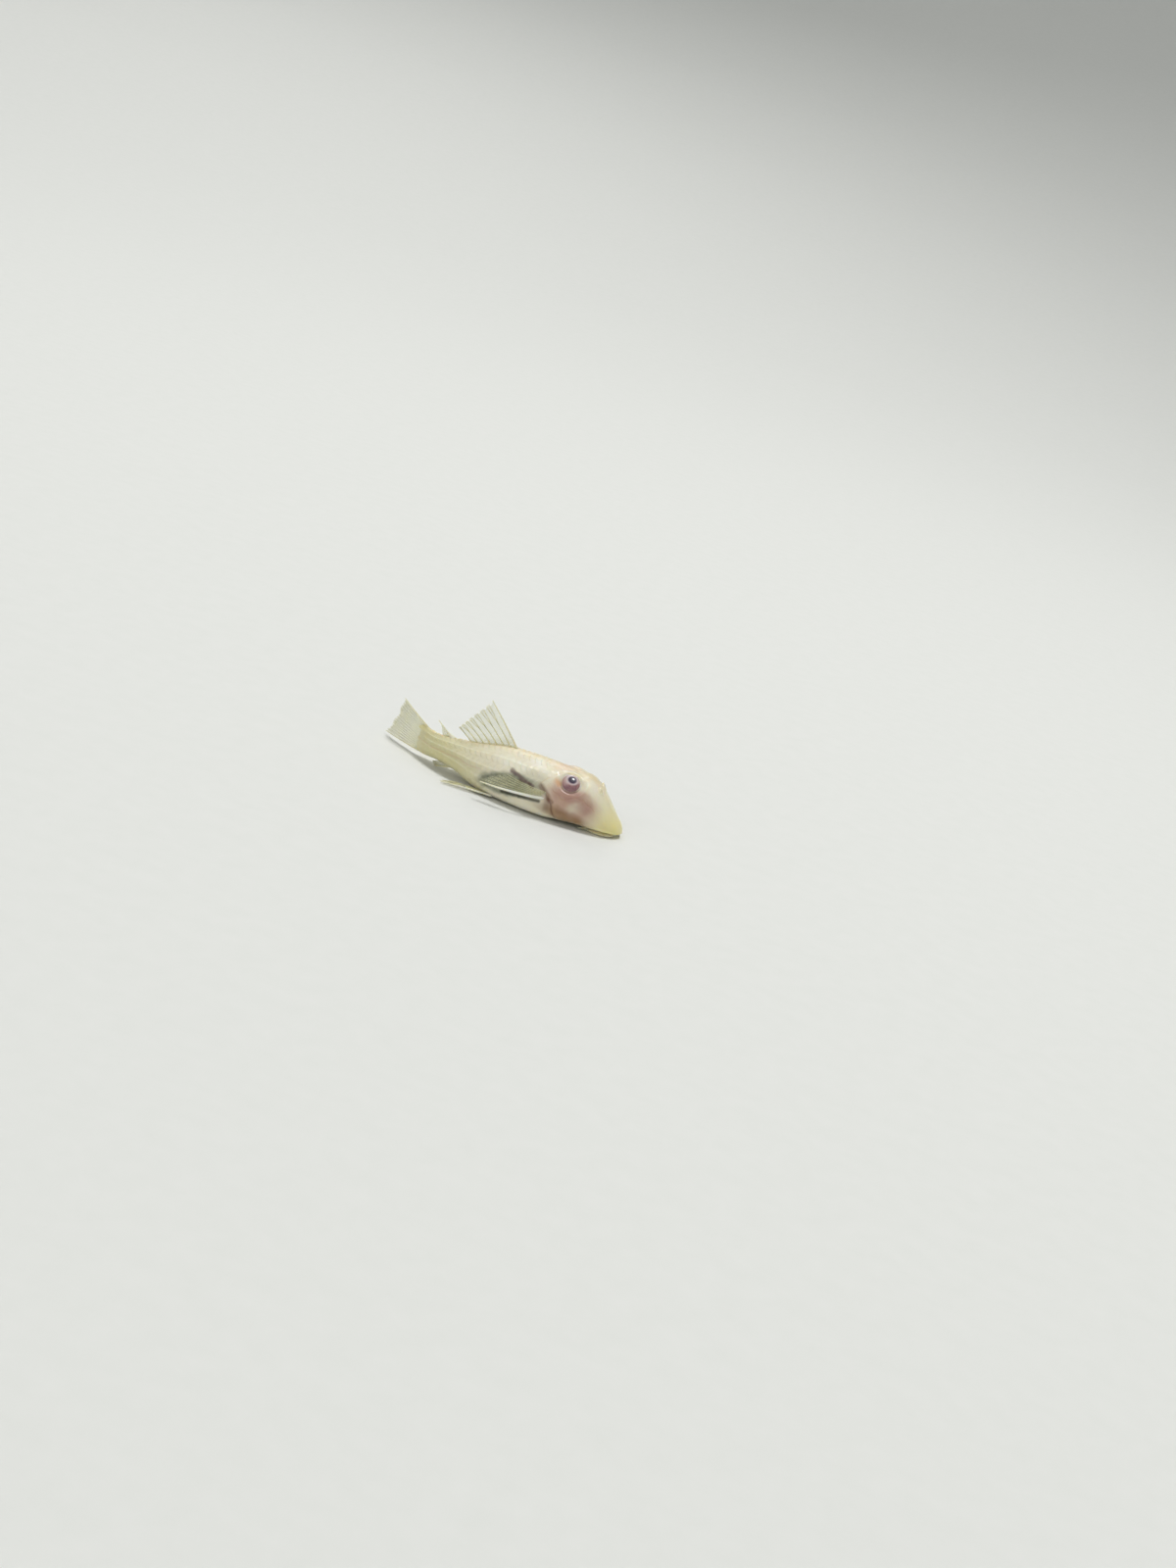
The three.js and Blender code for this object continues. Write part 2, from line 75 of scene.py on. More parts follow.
PECTORAL = dict(
    rays=7, foot=0.1, fall=1.2, thick=0.017, tuck=0.56,
    first=dict(long=4, rise=-3.5, splay=3, out=2.76, high=1.52),
    last=dict(long=2.5, rise=8, splay=-7, out=2.82, high=1.96),
)
PELVIC = dict(
    rays=6, foot=0.6, fall=1.2, thick=0.03, tuck=0.34,
    first=dict(long=3, rise=-1.8, splay=13, out=2.06, high=0.21),
    last=dict(long=2, rise=-1.8, splay=-5, out=1.92, high=0.21),
)

# The camera, found by laying the model's outline over the photograph
AIM_MM = (0.0, 0.0, 1.5)  # this place on the fish
AIM_PIXEL = (533, 796)  # shows at this pixel
PICTURE = (1200, 1600)
PIXELS_PER_MM = 15.0
CAMERA_DISTANCE = 150.0
CAMERA_AZIMUTH, CAMERA_ELEVATION, CAMERA_ROLL = 8.0, 17.0, 17.5


def unit(v):
    v = np.asarray(v, float)
    return v / np.linalg.norm(v)


def make_camera():
    az, el, roll = map(math.radians, (CAMERA_AZIMUTH, CAMERA_ELEVATION, CAMERA_ROLL))
    back = Vector((math.sin(az) * math.cos(el), -math.cos(az) * math.cos(el), math.sin(el)))
    level = Vector((math.cos(az), math.sin(az), 0))
    upright = back.cross(level)
    right = level * math.cos(roll) + upright * math.sin(roll)
    up = upright * math.cos(roll) - level * math.sin(roll)
    focal = PIXELS_PER_MM * CAMERA_DISTANCE  # in pixels
    aside = (AIM_PIXEL[0] - PICTURE[0] / 2) / focal
    above = (PICTURE[1] / 2 - AIM_PIXEL[1]) / focal
    axis = (back + right * aside + up * above).normalized()
    right = (right - axis * right.dot(axis)).normalized()
    data = bpy.data.cameras.new("camera")
    data.sensor_width = 36  # of full-frame film, in mm
    data.lens = data.sensor_width * focal / PICTURE[1]
    data.clip_start, data.clip_end = 0.002, 10  # metres
    camera = bpy.data.objects.new("camera", data)
    camera.matrix_world = Matrix.Translation((Vector(AIM_MM) + back * CAMERA_DISTANCE) * MM) @ Matrix(
        (right, axis.cross(right), axis)
    ).transposed().to_4x4()
    bpy.context.collection.objects.link(camera)
    bpy.context.scene.camera = camera


make_camera()

# Curves and places


def smooth(x, low, high):
    u = np.clip((np.asarray(x, float) - low) / (high - low), 0, 1)
    return u * u * (3 - 2 * u)


def between(x, start, full, fading, end):
    """1 from full to fading, and 0 before start and after end."""
    return smooth(x, start, full) * (1 - smooth(x, fading, end))


def mix(a, b, share):
    return a + (b - a) * share


def hump(x, middle, width):
    return np.exp(-(((x - middle) / width) ** 2))


def curve(*knots):
    """A smooth curve through (place, value) knots that never overshoots them."""
    x, y = np.array(knots, float).T
    slope = np.diff(y) / np.diff(x)
    before, after = np.append(slope[0], slope), np.append(slope, slope[-1])
    turns = before * after <= 0
    tangent = np.where(turns, 0, 2 * before * after / np.where(turns, 1, before + after))

    def at(place):
        place = np.clip(place, x[0], x[-1])
        i = np.clip(np.searchsorted(x, place, side="right") - 1, 0, len(x) - 2)
        width = x[i + 1] - x[i]
        u = (place - x[i]) / width
        bow = width * u * (1 - u) * ((1 - u) * tangent[i] - u * tangent[i + 1])
        return mix(y[i], y[i + 1], u * u * (3 - 2 * u)) + bow

    return at


heading = curve((0, -1), (6, 0), (8.6, 4), (11.7, 12), (13.3, 20), (15.6, 31), (20, 42))
back_line = curve(
    (0, 0.42), (0.22, 0.84), (0.65, 1.26), (1.2, 1.84), (1.75, 2.42), (2.5, 2.97), (3.4, 3.3), (4.6, 3.47),
    (6.2, 3.5), (DORSAL_ORIGIN, BODY_DEPTH), (DORSAL_END, 2.72), (13.2, 2.4), (14.8, 2.14),
    (BODY_LENGTH, 2.18),
)
belly_line = curve(
    (0, 0.3), (0.4, 0.2), (2.8, 0.2), (4.2, 0.12), (5.5, -0.04), (9.4, -0.04), (10.8, 0.08), (12.2, 0.42),
    (13.4, 0.5), (BODY_LENGTH, 0.32),
)
half_width = curve(
    (0, 0.04), (0.12, 0.55), (0.5, 1.06), (1.2, 1.55), (2.2, 1.88), (3.4, 2.08), (4.8, 2.25),
    (6.2, BODY_WIDTH / 2), (8.2, 2.14), (10.2, 1.68), (12.2, 1.14), (14, 0.72), (14.9, 0.46),
    (BODY_LENGTH, 0.39), (BODY_LENGTH + 0.35, 0.25), (BODY_LENGTH + 0.9, 0.06),
)
widest_share = curve((0, 0.3), (1.5, 0.27), (5, 0.3), (9, 0.34), (12.5, 0.44), (BODY_LENGTH, 0.5))
back_fullness = curve((0, 2.1), (3, 2.35), (6, 2.2), (9, 1.9), (13, 1.9), (BODY_LENGTH, 2))
belly_squareness = curve((0, 2.2), (3, 3.2), (6, 3.4), (9.5, 3.2), (12, 2.4), (BODY_LENGTH, 2.1))

SPINE_STEP = 0.05
spine_s = np.arange(0, 21, SPINE_STEP)
turned = np.radians(heading(spine_s + SPINE_STEP / 2))
spine_x = -np.append(0, np.cumsum(np.cos(turned))[:-1]) * SPINE_STEP
spine_y = np.append(0, np.cumsum(np.sin(turned))[:-1]) * SPINE_STEP
belly_x = np.interp(BELLY_MIDDLE, spine_s, spine_x)
belly_y = np.interp(BELLY_MIDDLE, spine_s, spine_y)


def pose(points):
    """Carries places on the straight fish to the posed fish, in metres. Nothing passes below the ground."""
    s, t, z = np.moveaxis(np.asarray(points, float), -1, 0)
    a = np.radians(heading(s))
    x = np.interp(s, spine_s, spine_x) + t * np.sin(a) - belly_x
    y = np.interp(s, spine_s, spine_y) + t * np.cos(a) - belly_y
    return np.stack([x, y, np.maximum(z, 0)], -1) * MM


NEARBY = 0.05  # an angle between places on the skin that tell which way it faces, in radians


def skin_point(s, angle, rise=0.0):
    """A place on the skin at s and angle (0 on the back, pi on the belly), raised outwards by rise."""
    top, bottom = back_line(s), belly_line(s)
    middle = mix(bottom, top, widest_share(s))

    def at(a):
        up = np.cos(a) >= 0
        power = 2 / np.where(up, back_fullness(s), belly_squareness(s))
        t = half_width(s) * np.sign(np.sin(a)) * np.abs(np.sin(a)) ** power
        z = middle + np.where(up, top - middle, bottom - middle) * np.abs(np.cos(a)) ** power
        return t, z

    t, z = at(angle)
    (t0, z0), (t1, z1) = at(angle - NEARBY), at(angle + NEARBY)
    long = np.hypot(t1 - t0, z1 - z0)
    return np.stack([s + 0 * t, t - rise * (z1 - z0) / long, z + rise * (t1 - t0) / long], -1)


def degrees_off(angle):
    """The angle from the middle of the back, in degrees, alike on both sides."""
    return np.abs(np.degrees(np.arctan2(np.sin(angle), np.cos(angle))))


def gill_edge(angle):
    """Where the head ends. Its edge bulges back on the flank."""
    BULGE, BULGE_AT, BULGE_HALF = 0.45, 84, 34  # the last two in degrees
    return GILLS + BULGE * hump(degrees_off(angle), BULGE_AT, BULGE_HALF)


# Mesh making


def add_piece(name, points, faces, material, replaces, marks):
    """A smooth mesh of posed points that rides on the fish. marks are numbers painted on its points."""
    mesh = bpy.data.meshes.new(name)
    mesh.from_pydata(points.tolist(), [], faces)
    for mark, values in marks.items():
        paint = mesh.attributes.new(mark, "FLOAT", "POINT")
        paint.data.foreach_set("value", np.ravel(values).astype(np.float32))
    mesh.shade_smooth()
    mesh.materials.append(material)
    piece = bpy.data.objects.new(name, mesh)
    bpy.context.collection.objects.link(piece)
    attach(piece, "root")
    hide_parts(*replaces)


def grid_faces(rows, columns):
    """Quads between rings of points."""
    r, c = np.meshgrid(np.arange(rows - 1), np.arange(columns), indexing="ij")
    n = (c + 1) % columns
    quads = [r * columns + c, r * columns + n, (r + 1) * columns + n, (r + 1) * columns + c]
    return np.stack(quads, -1).reshape(-1, 4).tolist()


def closed_grid(rings, flip=False, seam=False):
    """Points and faces of a body through rings. A fan closes each end, or a seam the last one."""
    rows, columns = rings.shape[:2]
    points = np.concatenate([rings.reshape(-1, 3), rings[0].mean(0)[None], rings[-1].mean(0)[None]])
    faces = grid_faces(rows, columns)
    front, end, last = rows * columns, rows * columns + 1, (rows - 1) * columns
    for i in range(columns):
        j = (i + 1) % columns
        faces += [[front, j, i]] if seam else [[front, j, i], [end, last + i, last + j]]
    if seam:
        points = points[:-1]
        half = columns // 2
        faces += [[last, last + 1, last + columns - 1], [last + half - 1, last + half, last + half + 1]]
        for i in range(1, half - 1):
            far = last + columns - i
            faces.append([last + i, last + i + 1, far - 1, far])
    return points, [f[::-1] for f in faces] if flip else faces


class Pile:
    """Collects closed bodies into one mesh."""

    def __init__(self):
        self.points, self.faces, self.marks, self.count = [], [], [], 0

    def add(self, points, faces, mark):
        self.faces += [[i + self.count for i in f] for f in faces]
        self.points.append(points)
        self.marks.append(np.broadcast_to(mark, len(points)))
        self.count += len(points)

    def all(self):
        return np.concatenate(self.points), self.faces, np.concatenate(self.marks)


def tube(path, radii, across, sides):
    """A round bar along a path, closed at both ends."""
    along = np.gradient(path, axis=0)
    along /= np.linalg.norm(along, axis=1, keepdims=True)
    first = across - (along @ across)[:, None] * along
    first /= np.linalg.norm(first, axis=1, keepdims=True)
    second = np.cross(along, first)
    a = np.linspace(0, 2 * np.pi, sides, endpoint=False)
    ring = first[:, None] * np.cos(a)[None, :, None] + second[:, None] * np.sin(a)[None, :, None]
    return closed_grid(path[:, None] + ring * np.asarray(radii)[:, None, None])


# Materials


def tone(code):
    """An sRGB hex colour as linear light."""
    parts = [int(code[i : i + 2], 16) / 255 for i in (1, 3, 5)]
    return tuple(c / 12.92 if c <= 0.04045 else ((c + 0.055) / 1.055) ** 2.4 for c in parts) + (1.0,)


def per_metre(mm):
    """The texture scale that makes a pattern repeat about every so many millimetres."""
    return 1000 / mm


def fill(tree, made, inputs):
    """Sets a node's inputs. A value is a number, a colour, or another node's output."""
    for key, value in inputs.items():
        if isinstance(value, bpy.types.NodeSocket):
            tree.links.new(value, made.inputs[key])
        else:
            made.inputs[key].default_value = value


def node(tree, kind, inputs=None, **settings):
    """Adds a node with its settings, and fills its inputs."""
    made = tree.nodes.new(kind)
    for key, value in settings.items():
        setattr(made, key, value)
    fill(tree, made, inputs or {})
    return made


MIX_A, MIX_B, MIX_RESULT = 6, 7, 2  # the colour sockets of a Mix node


def new_material(name):
    material = bpy.data.materials.new(name)
    material.use_nodes = True
    tree = material.node_tree
    return material, tree, tree.nodes["Principled BSDF"]


def painted(tree, name):
    """The number painted on the points under this name."""
    return node(tree, "ShaderNodeAttribute", attribute_name=name).outputs["Fac"]


def over(tree, below, above, share):
    """Lays one colour over another."""
    mixed = node(tree, "ShaderNodeMix", {0: share, MIX_A: below, MIX_B: above}, data_type="RGBA")
    return mixed.outputs[MIX_RESULT]


# The stains under the skin, each laid over the ones before it. Among them are painted shade on the lower tail
# and on the cheek's lower edge, and a painted yellow edge highlight along the back
DEEP_STAINS = (
    # olive tint over the tail, darker on its lower flank as painted shade
    ("tail", "#cfc991"),
    ("keel", "#f3efd8"),
    # painted edge highlight: yellow along the middle of the back
    ("edge", "#e3c787"),
    ("blood", "#cf9a80"),
    ("brain", "#e6c3ad"),
    ("snout", "#eadf98"),
    ("blush", "#c09482"),
    ("mauve", "#af847b"),
    # olive-brown tint and painted shade along the cheek's lower edge
    ("amber_and_shade", "#8b6434"),
    ("patch", "#d6a06a"),
)
# And the marks over the gut, among them a painted highlight on the shoulders and a painted shadow under each
# pectoral fin
SURFACE_STAINS = (
    ("band", "#6a4f4c"),
    # pale milky flesh, and a painted highlight on the shoulders
    ("milk_and_highlight", "#fbf9ee"),
    ("slit", "#74482f"),
    # painted shadow: the dark line the pectoral fin casts on the flank below its spine
    ("fin_shadow", "#2b2a1d"),
)


def make_skin():
    """Albino fish skin over thin bony plates: milky, moist and a little see-through, so the gut, gills and
    blood show as soft stains and the thin tail glows olive-yellow. Its grain of tiny pits is drawn 0.075 mm
    apart, and the slime on it is its coat."""
    material, tree, shader = new_material("albino_fish_skin_moist")
    place = node(tree, "ShaderNodeTexCoord").outputs["Object"]
    cloud = node(tree, "ShaderNodeTexNoise", {"Vector": place, "Scale": per_metre(0.9), "Detail": 5.0})
    speck = node(tree, "ShaderNodeTexNoise", {"Vector": place, "Scale": per_metre(0.22), "Detail": 4.0})
    grain = node(tree, "ShaderNodeTexVoronoi", {"Vector": place, "Scale": per_metre(0.075)})
    colour = over(tree, tone("#e6dfc4"), tone("#f1ecda"), cloud.outputs["Fac"])
    for name, code in DEEP_STAINS:
        colour = over(tree, colour, tone(code), painted(tree, name))
    gut = over(tree, tone("#565c48"), tone("#969b80"), speck.outputs["Fac"])
    colour = over(tree, colour, gut, painted(tree, "gut"))
    for name, code in SURFACE_STAINS:
        colour = over(tree, colour, tone(code), painted(tree, name))
    pits = {"Strength": 0.3, "Distance": 0.01 * MM, "Height": grain.outputs["Distance"]}
    rough = node(tree, "ShaderNodeMapRange", {"Value": speck.outputs["Fac"], "To Min": 0.26, "To Max": 0.44})
    fill(tree, shader, {
        "Base Color": colour,
        "Normal": node(tree, "ShaderNodeBump", pits).outputs["Normal"],
        "Roughness": rough.outputs["Result"],
        "IOR": 1.4,
        "Subsurface Weight": 0.85,
        "Subsurface Radius": (1.0, 0.85, 0.55),
        "Subsurface Scale": 0.45 * MM,
        "Coat Weight": 0.5,
        "Coat Roughness": 0.09,
        "Coat IOR": 1.33,
    })
    return material


def make_web():
    """The clear skin between fin rays: thin, wet and nearly colourless, with a faint yellow and fine
    wrinkles. It is fleshier, and less clear, at the root."""
    material, tree, shader = new_material("fin_web_clear")
    place = node(tree, "ShaderNodeTexCoord").outputs["Object"]
    cloud = node(tree, "ShaderNodeTexNoise", {"Vector": place, "Scale": per_metre(0.5), "Detail": 3.0})
    wrinkle = node(tree, "ShaderNodeTexNoise", {"Vector": place, "Scale": per_metre(0.09), "Detail": 3.0})
    alpha = node(tree, "ShaderNodeMapRange", {"Value": painted(tree, "flesh"), "To Min": 0.1, "To Max": 0.9})
    rough = node(
        tree, "ShaderNodeMapRange", {"Value": wrinkle.outputs["Fac"], "To Min": 0.16, "To Max": 0.34}
    )
    creases = {"Strength": 0.4, "Distance": 0.01 * MM, "Height": wrinkle.outputs["Fac"]}
    fill(tree, shader, {
        "Base Color": over(tree, tone("#d8d79c"), tone("#ecebc8"), cloud.outputs["Fac"]),
        "Normal": node(tree, "ShaderNodeBump", creases).outputs["Normal"],
        "Roughness": rough.outputs["Result"],
        "IOR": 1.38,
        "Alpha": alpha.outputs["Result"],
    })
    return material


RAY_JOINT = 0.2  # from one joint of a fin ray to the next


def make_ray():
    """Fin rays: jointed slips of pale bone in clear skin, yellow-white and a little see-through. The joints
    are darker, rougher and sunk. A spine is whiter and solid, and the pectoral spines' full white is also a
    painted highlight."""
    material, tree, shader = new_material("fin_ray_bone")
    turns = {0: painted(tree, "along"), 1: 2 * math.pi / RAY_JOINT}
    turned_by = node(tree, "ShaderNodeMath", turns, operation="MULTIPLY")
    wave = node(tree, "ShaderNodeMath", {0: turned_by.outputs[0]}, operation="COSINE")
    joint = node(tree, "ShaderNodeMapRange", {"Value": wave.outputs[0], "From Min": 0.6, "From Max": 1.0})
    colour = over(tree, tone("#e9e2b8"), tone("#d6cc93"), joint.outputs["Result"])
    grooves = {"Strength": 0.4, "Distance": 0.01 * MM, "Height": joint.outputs["Result"]}
    rough = node(
        tree, "ShaderNodeMapRange", {"Value": joint.outputs["Result"], "To Min": 0.28, "To Max": 0.5}
    )
    alpha = node(tree, "ShaderNodeMapRange", {"Value": painted(tree, "spine"), "To Min": 0.8, "To Max": 1.0})
    fill(tree, shader, {
        "Base Color": over(tree, colour, tone("#f7f5ea"), painted(tree, "spine")),
        "Normal": node(tree, "ShaderNodeBump", grooves, invert=True).outputs["Normal"],
        "Roughness": rough.outputs["Result"],
        "IOR": 1.45,
        "Subsurface Weight": 0.6,
        "Subsurface Radius": (1.0, 0.85, 0.5),
        "Subsurface Scale": 0.12 * MM,
        "Alpha": alpha.outputs["Result"],
    })
    return material


def make_lip():
    """Lips: soft wet skin, pale yellow, pinker towards the mouth's opening, with taste buds 0.14 mm apart."""
    material, tree, shader = new_material("lip_soft_wet")
    place = node(tree, "ShaderNodeTexCoord").outputs["Object"]
    buds = node(tree, "ShaderNodeTexVoronoi", {"Vector": place, "Scale": per_metre(0.14)})
    domes = {"Strength": 0.5, "Distance": 0.02 * MM, "Height": buds.outputs["Distance"]}
    fill(tree, shader, {
        "Base Color": over(tree, tone("#e4d7b2"), tone("#c58f76"), painted(tree, "inside")),
        "Normal": node(tree, "ShaderNodeBump", domes, invert=True).outputs["Normal"],
        "Roughness": 0.32,
        "IOR": 1.4,
        "Subsurface Weight": 0.7,
        "Subsurface Radius": (1.0, 0.7, 0.4),
        "Subsurface Scale": 0.4 * MM,
    })
    return material


# The eye's rings, by the distance in millimetres from the pupil's middle
EYE_RINGS = (
    (0, "#21182c"),
    (0.23, "#33263f"),
    (0.28, "#7d6472"),
    (0.34, "#d3c3c2"),
    (0.5, "#c4a69f"),
    (0.8, "#b89488"),
)


def make_eye():
    """A fish's eye under its wet cornea: violet pupil, pale pink iris, mauve in a crescent below."""
    material, tree, shader = new_material("eye_wet_cornea")
    place = node(tree, "ShaderNodeTexCoord").outputs["Object"]
    streaks = node(tree, "ShaderNodeTexNoise", {"Vector": place, "Scale": per_metre(0.14), "Detail": 4.0})
    ramp = node(tree, "ShaderNodeValToRGB", {"Fac": painted(tree, "from_pupil")})
    rings = ramp.color_ramp.elements
    while len(rings) < len(EYE_RINGS):
        rings.new(0.5)
    for ring, (at, code) in zip(rings, EYE_RINGS):
        ring.position = at
        ring.color = tone(code)
    spread = {"Value": streaks.outputs["Fac"], "From Min": 0.35, "From Max": 0.65}
    patchy = node(tree, "ShaderNodeMapRange", spread)
    within = {0: painted(tree, "crescent"), 1: patchy.outputs[0]}
    below = node(tree, "ShaderNodeMath", within, operation="MULTIPLY")
    colour = over(tree, ramp.outputs["Color"], tone("#a17778"), painted(tree, "crescent"))
    fill(tree, shader, {
        "Base Color": over(tree, colour, tone("#8a5f66"), below.outputs[0]),
        "Roughness": 0.4,
        "Subsurface Weight": 0.2,
        "Subsurface Scale": 0.1 * MM,
        "Coat Weight": 1.0,
        "Coat Roughness": 0.02,
        "Coat IOR": 1.376,
    })
    return material


skin_material = make_skin()
web_material = make_web()
ray_material = make_ray()
lip_material = make_lip()
eye_material = make_eye()

# The body's skin: one closed surface from the snout to the root of the tail fin. deg is always the angle from
# the middle of the back, in degrees.

AROUND = 400
HEAD_RINGS = 260
HEAD_SHARE = 0.9985  # of the way to the gills, where the plates take over
HEAD_CROWDING = 1.35  # above 1 where the rings lie closer together at the snout
END_RINGS = 9
END_LONG = 0.3  # the bare skin behind the last plates
SKIN_END = BODY_LENGTH + 0.42
PLATES = 25  # bony plates along the flank, the last on the root of the tail fin
PLATE_STEPS = (0.02, 0.15, 0.32, 0.5, 0.68, 0.82, 0.92, 0.985)  # rings across one plate
PLATE_RISE = 0.042
PLATE_POINT = 0.2
KEELS = (14, 40, 66, 90, 114)  # where the rows' keels lie, in degrees
ROW_HALF = 13
ROWS_END = (118, 130)  # the plates thin out between these, and the belly is bare
STAGGER = 0.45  # how far every other row is set back, as a share of a plate
LOBES_OVER = 5  # this many plates from the end, the skin starts to part into lobes on the tail fin
KEEL_RISE = 0.024
KEEL_HALF = 2.4
KEELS_END = (104, 112)  # the lowest keels fade between these
JOINT_WIDE, JOINT_DEEP = 0.05, 0.014  # of the grooves between the bones of the skull
SLIT_SPAN = (55, 66, 122, 140)  # the gill slit opens between the first two, and closes between the others
SLIT_DEEP, SLIT_LIP = 0.055, 0.05
FIRST_RING = 0.004  # how far back the snout's fan reaches


def nearest_keel(degrees):
    """How far the nearest row's keel is, in degrees, and that row's number."""
    gaps = np.abs(degrees[..., None] - np.array(KEELS))
    return gaps.min(-1), gaps.argmin(-1)


def eye_frame(side):
    """An eye's middle and the way it looks."""
    centre = np.array([EYE_PLACE[0], EYE_PLACE[1] * side, EYE_PLACE[2]])
    return centre, unit([EYE_AIM[0], EYE_AIM[1] * side, EYE_AIM[2]])


def seat_eye(points, side):
    """Lays the skin close round an eyeball, with a low bony rim."""
    HIDDEN, LID, BESIDE = 0.1, 0.03, 0.19  # under the globe, over its edge, and above its middle beside it
    RIM, RIM_AT, RIM_HALF = 0.035, 1.16, 0.12  # the last two, and all shares below, in eye radii
    LID_FROM, LID_TO, BESIDE_TO, SKIN_FROM, SKIN_TO = 0.8, 0.87, 1.02, 1.6, 1.7
    centre, aim = eye_frame(side)
    offset = points - centre
    out = offset @ aim
    share = np.linalg.norm(offset - out[..., None] * aim, axis=-1) / EYE_RADIUS
    globe = EYE_DEPTH * np.sqrt(np.clip(1 - share**2, 0, 1))
    lid = mix(globe - HIDDEN, globe + LID, smooth(share, LID_FROM, LID_TO))
    lid = mix(lid, BESIDE, smooth(share, LID_TO, BESIDE_TO))
    wanted = mix(lid, out, smooth(share, BESIDE_TO, SKIN_FROM)) + RIM * hump(share, RIM_AT, RIM_HALF)
    near = (out > -0.7) & (share < SKIN_TO)  # the far side of the head is left alone
    return points + np.where(near, wanted - out, 0)[..., None] * aim


def nostril_rise(points):
    """A small raised flap behind a pit, on each side of the snout."""
    FLAP, FLAP_AWAY, FLAP_HALF = 0.13, 0.19, 0.075
    PIT, PIT_HALF = 0.13, 0.1
    LEAN = 0.7  # how much of the flap's height goes from its front to its rear
    s0, t0 = NOSTRIL_PLACE
    angle = math.asin((t0 / half_width(s0)) ** (back_fullness(s0) / 2))
    middle = skin_point(np.float64(s0), np.float64(angle))
    offset = points - middle * np.where(points[..., 1:2] < 0, [1, -1, 1], [1, 1, 1])
    off = np.linalg.norm(offset, axis=-1)
    behind = 1 + LEAN * offset[..., 0] / np.maximum(off, 0.05)
    return FLAP * hump(off, FLAP_AWAY, FLAP_HALF) * behind - PIT * hump(off, 0, PIT_HALF)


slit_line = curve((55, 6.15), (64, 5.9), (75, 5.4), (84, 5.0), (100, 4.65), (140, 4.2))  # s at deg
SLIT_SLANT = 0.75  # turns a distance along s into one across the slanting slit


def ripple(points, size, seed):
    """Soft waves in every direction, from about -1 to 1 and about size apart."""
    WAVES = 9
    pick = np.random.default_rng(seed)
    total = 0
    for direction in pick.normal(size=(WAVES, 3)):
        turns = points @ unit(direction) / size * pick.uniform(0.6, 1.5)
        total = total + np.sin(turns * 2 * np.pi + pick.uniform(0, 6.3))
    return total / (WAVES / 2)


def spot(s, z, middle, reach, tilt=0.0, edge=0.5):
    """A soft oval stain: 1 inside, 0 beyond its reach. tilt is how far it climbs for each millimetre back."""
    off = np.hypot((s - middle[0]) / reach[0], (z - middle[1] - tilt * (s - middle[0])) / reach[1])
    return 1 - smooth(off, 1 - edge, 1 + edge)


def streak(s, z, start, end, width):
    """A soft stroke between two places on the flank."""
    start, end = np.array(start), np.array(end)
    step = end - start
    along = np.clip(((s - start[0]) * step[0] + (z - start[1]) * step[1]) / (step @ step), 0, 1)
    off = np.hypot(s - start[0] - along * step[0], z - start[1] - along * step[1])
    return 1 - smooth(off, 0.2 * width, 1.3 * width)


# Where stains and painted shade show on the flank, as (s, z)
GUT = dict(middle=(7.9, 1.55), reach=(2.2, 0.76), tilt=-0.23, edge=0.22)
GREY_SHOULDER = dict(middle=(6.6, 2.6), reach=(0.7, 0.4))
GREY_NAPE = dict(middle=(6.4, 3.1), reach=(0.5, 0.25))
MILKY_FLANK = dict(middle=(8.2, 2.8), reach=(1.2, 0.25))
CHEEK = dict(middle=(3.75, 1.7), reach=(1.75, 1.15), tilt=0.12, edge=0.42)
CHEEK_PALE = dict(middle=(3.4, 1.6), reach=(0.55, 0.4), edge=0.6)
MAUVE_REAR = dict(middle=(3.9, 2.2), reach=(1.1, 0.4))
MAUVE_FRONT = dict(middle=(2.8, 1.8), reach=(0.5, 0.45))
# The cheek's lower edge: its olive-brown tint, and painted shade along that edge
AMBER_AND_SHADE = dict(middle=(4.0, 0.75), reach=(1.7, 0.42), tilt=0.12, edge=0.6)
BEHIND_EYE = dict(middle=(4.95, 2.75), reach=(0.3, 0.25), edge=0.7)
SHOULDER = dict(middle=(5.8, 1.5), reach=(0.5, 0.5), edge=0.9)
BAND = dict(start=(8.05, 2.4), end=(6.45, 1.98), width=0.17)
# The painted shadow of the pectoral fin's spine on the flank, a dark stroke just below it
FIN_SHADOW = dict(start=(5.8, 1.24), end=(8.3, 0.92), width=0.14)
SLIT_TOP = dict(start=(5.95, 2.25), end=(4.95, 1.4), width=0.2)
SLIT_LOW = dict(start=(5.3, 1.5), end=(5.2, 0.9), width=0.25)
VESSEL_HIGH = 0.52  # the blood vessel of the flank, as a share of the way from belly to back


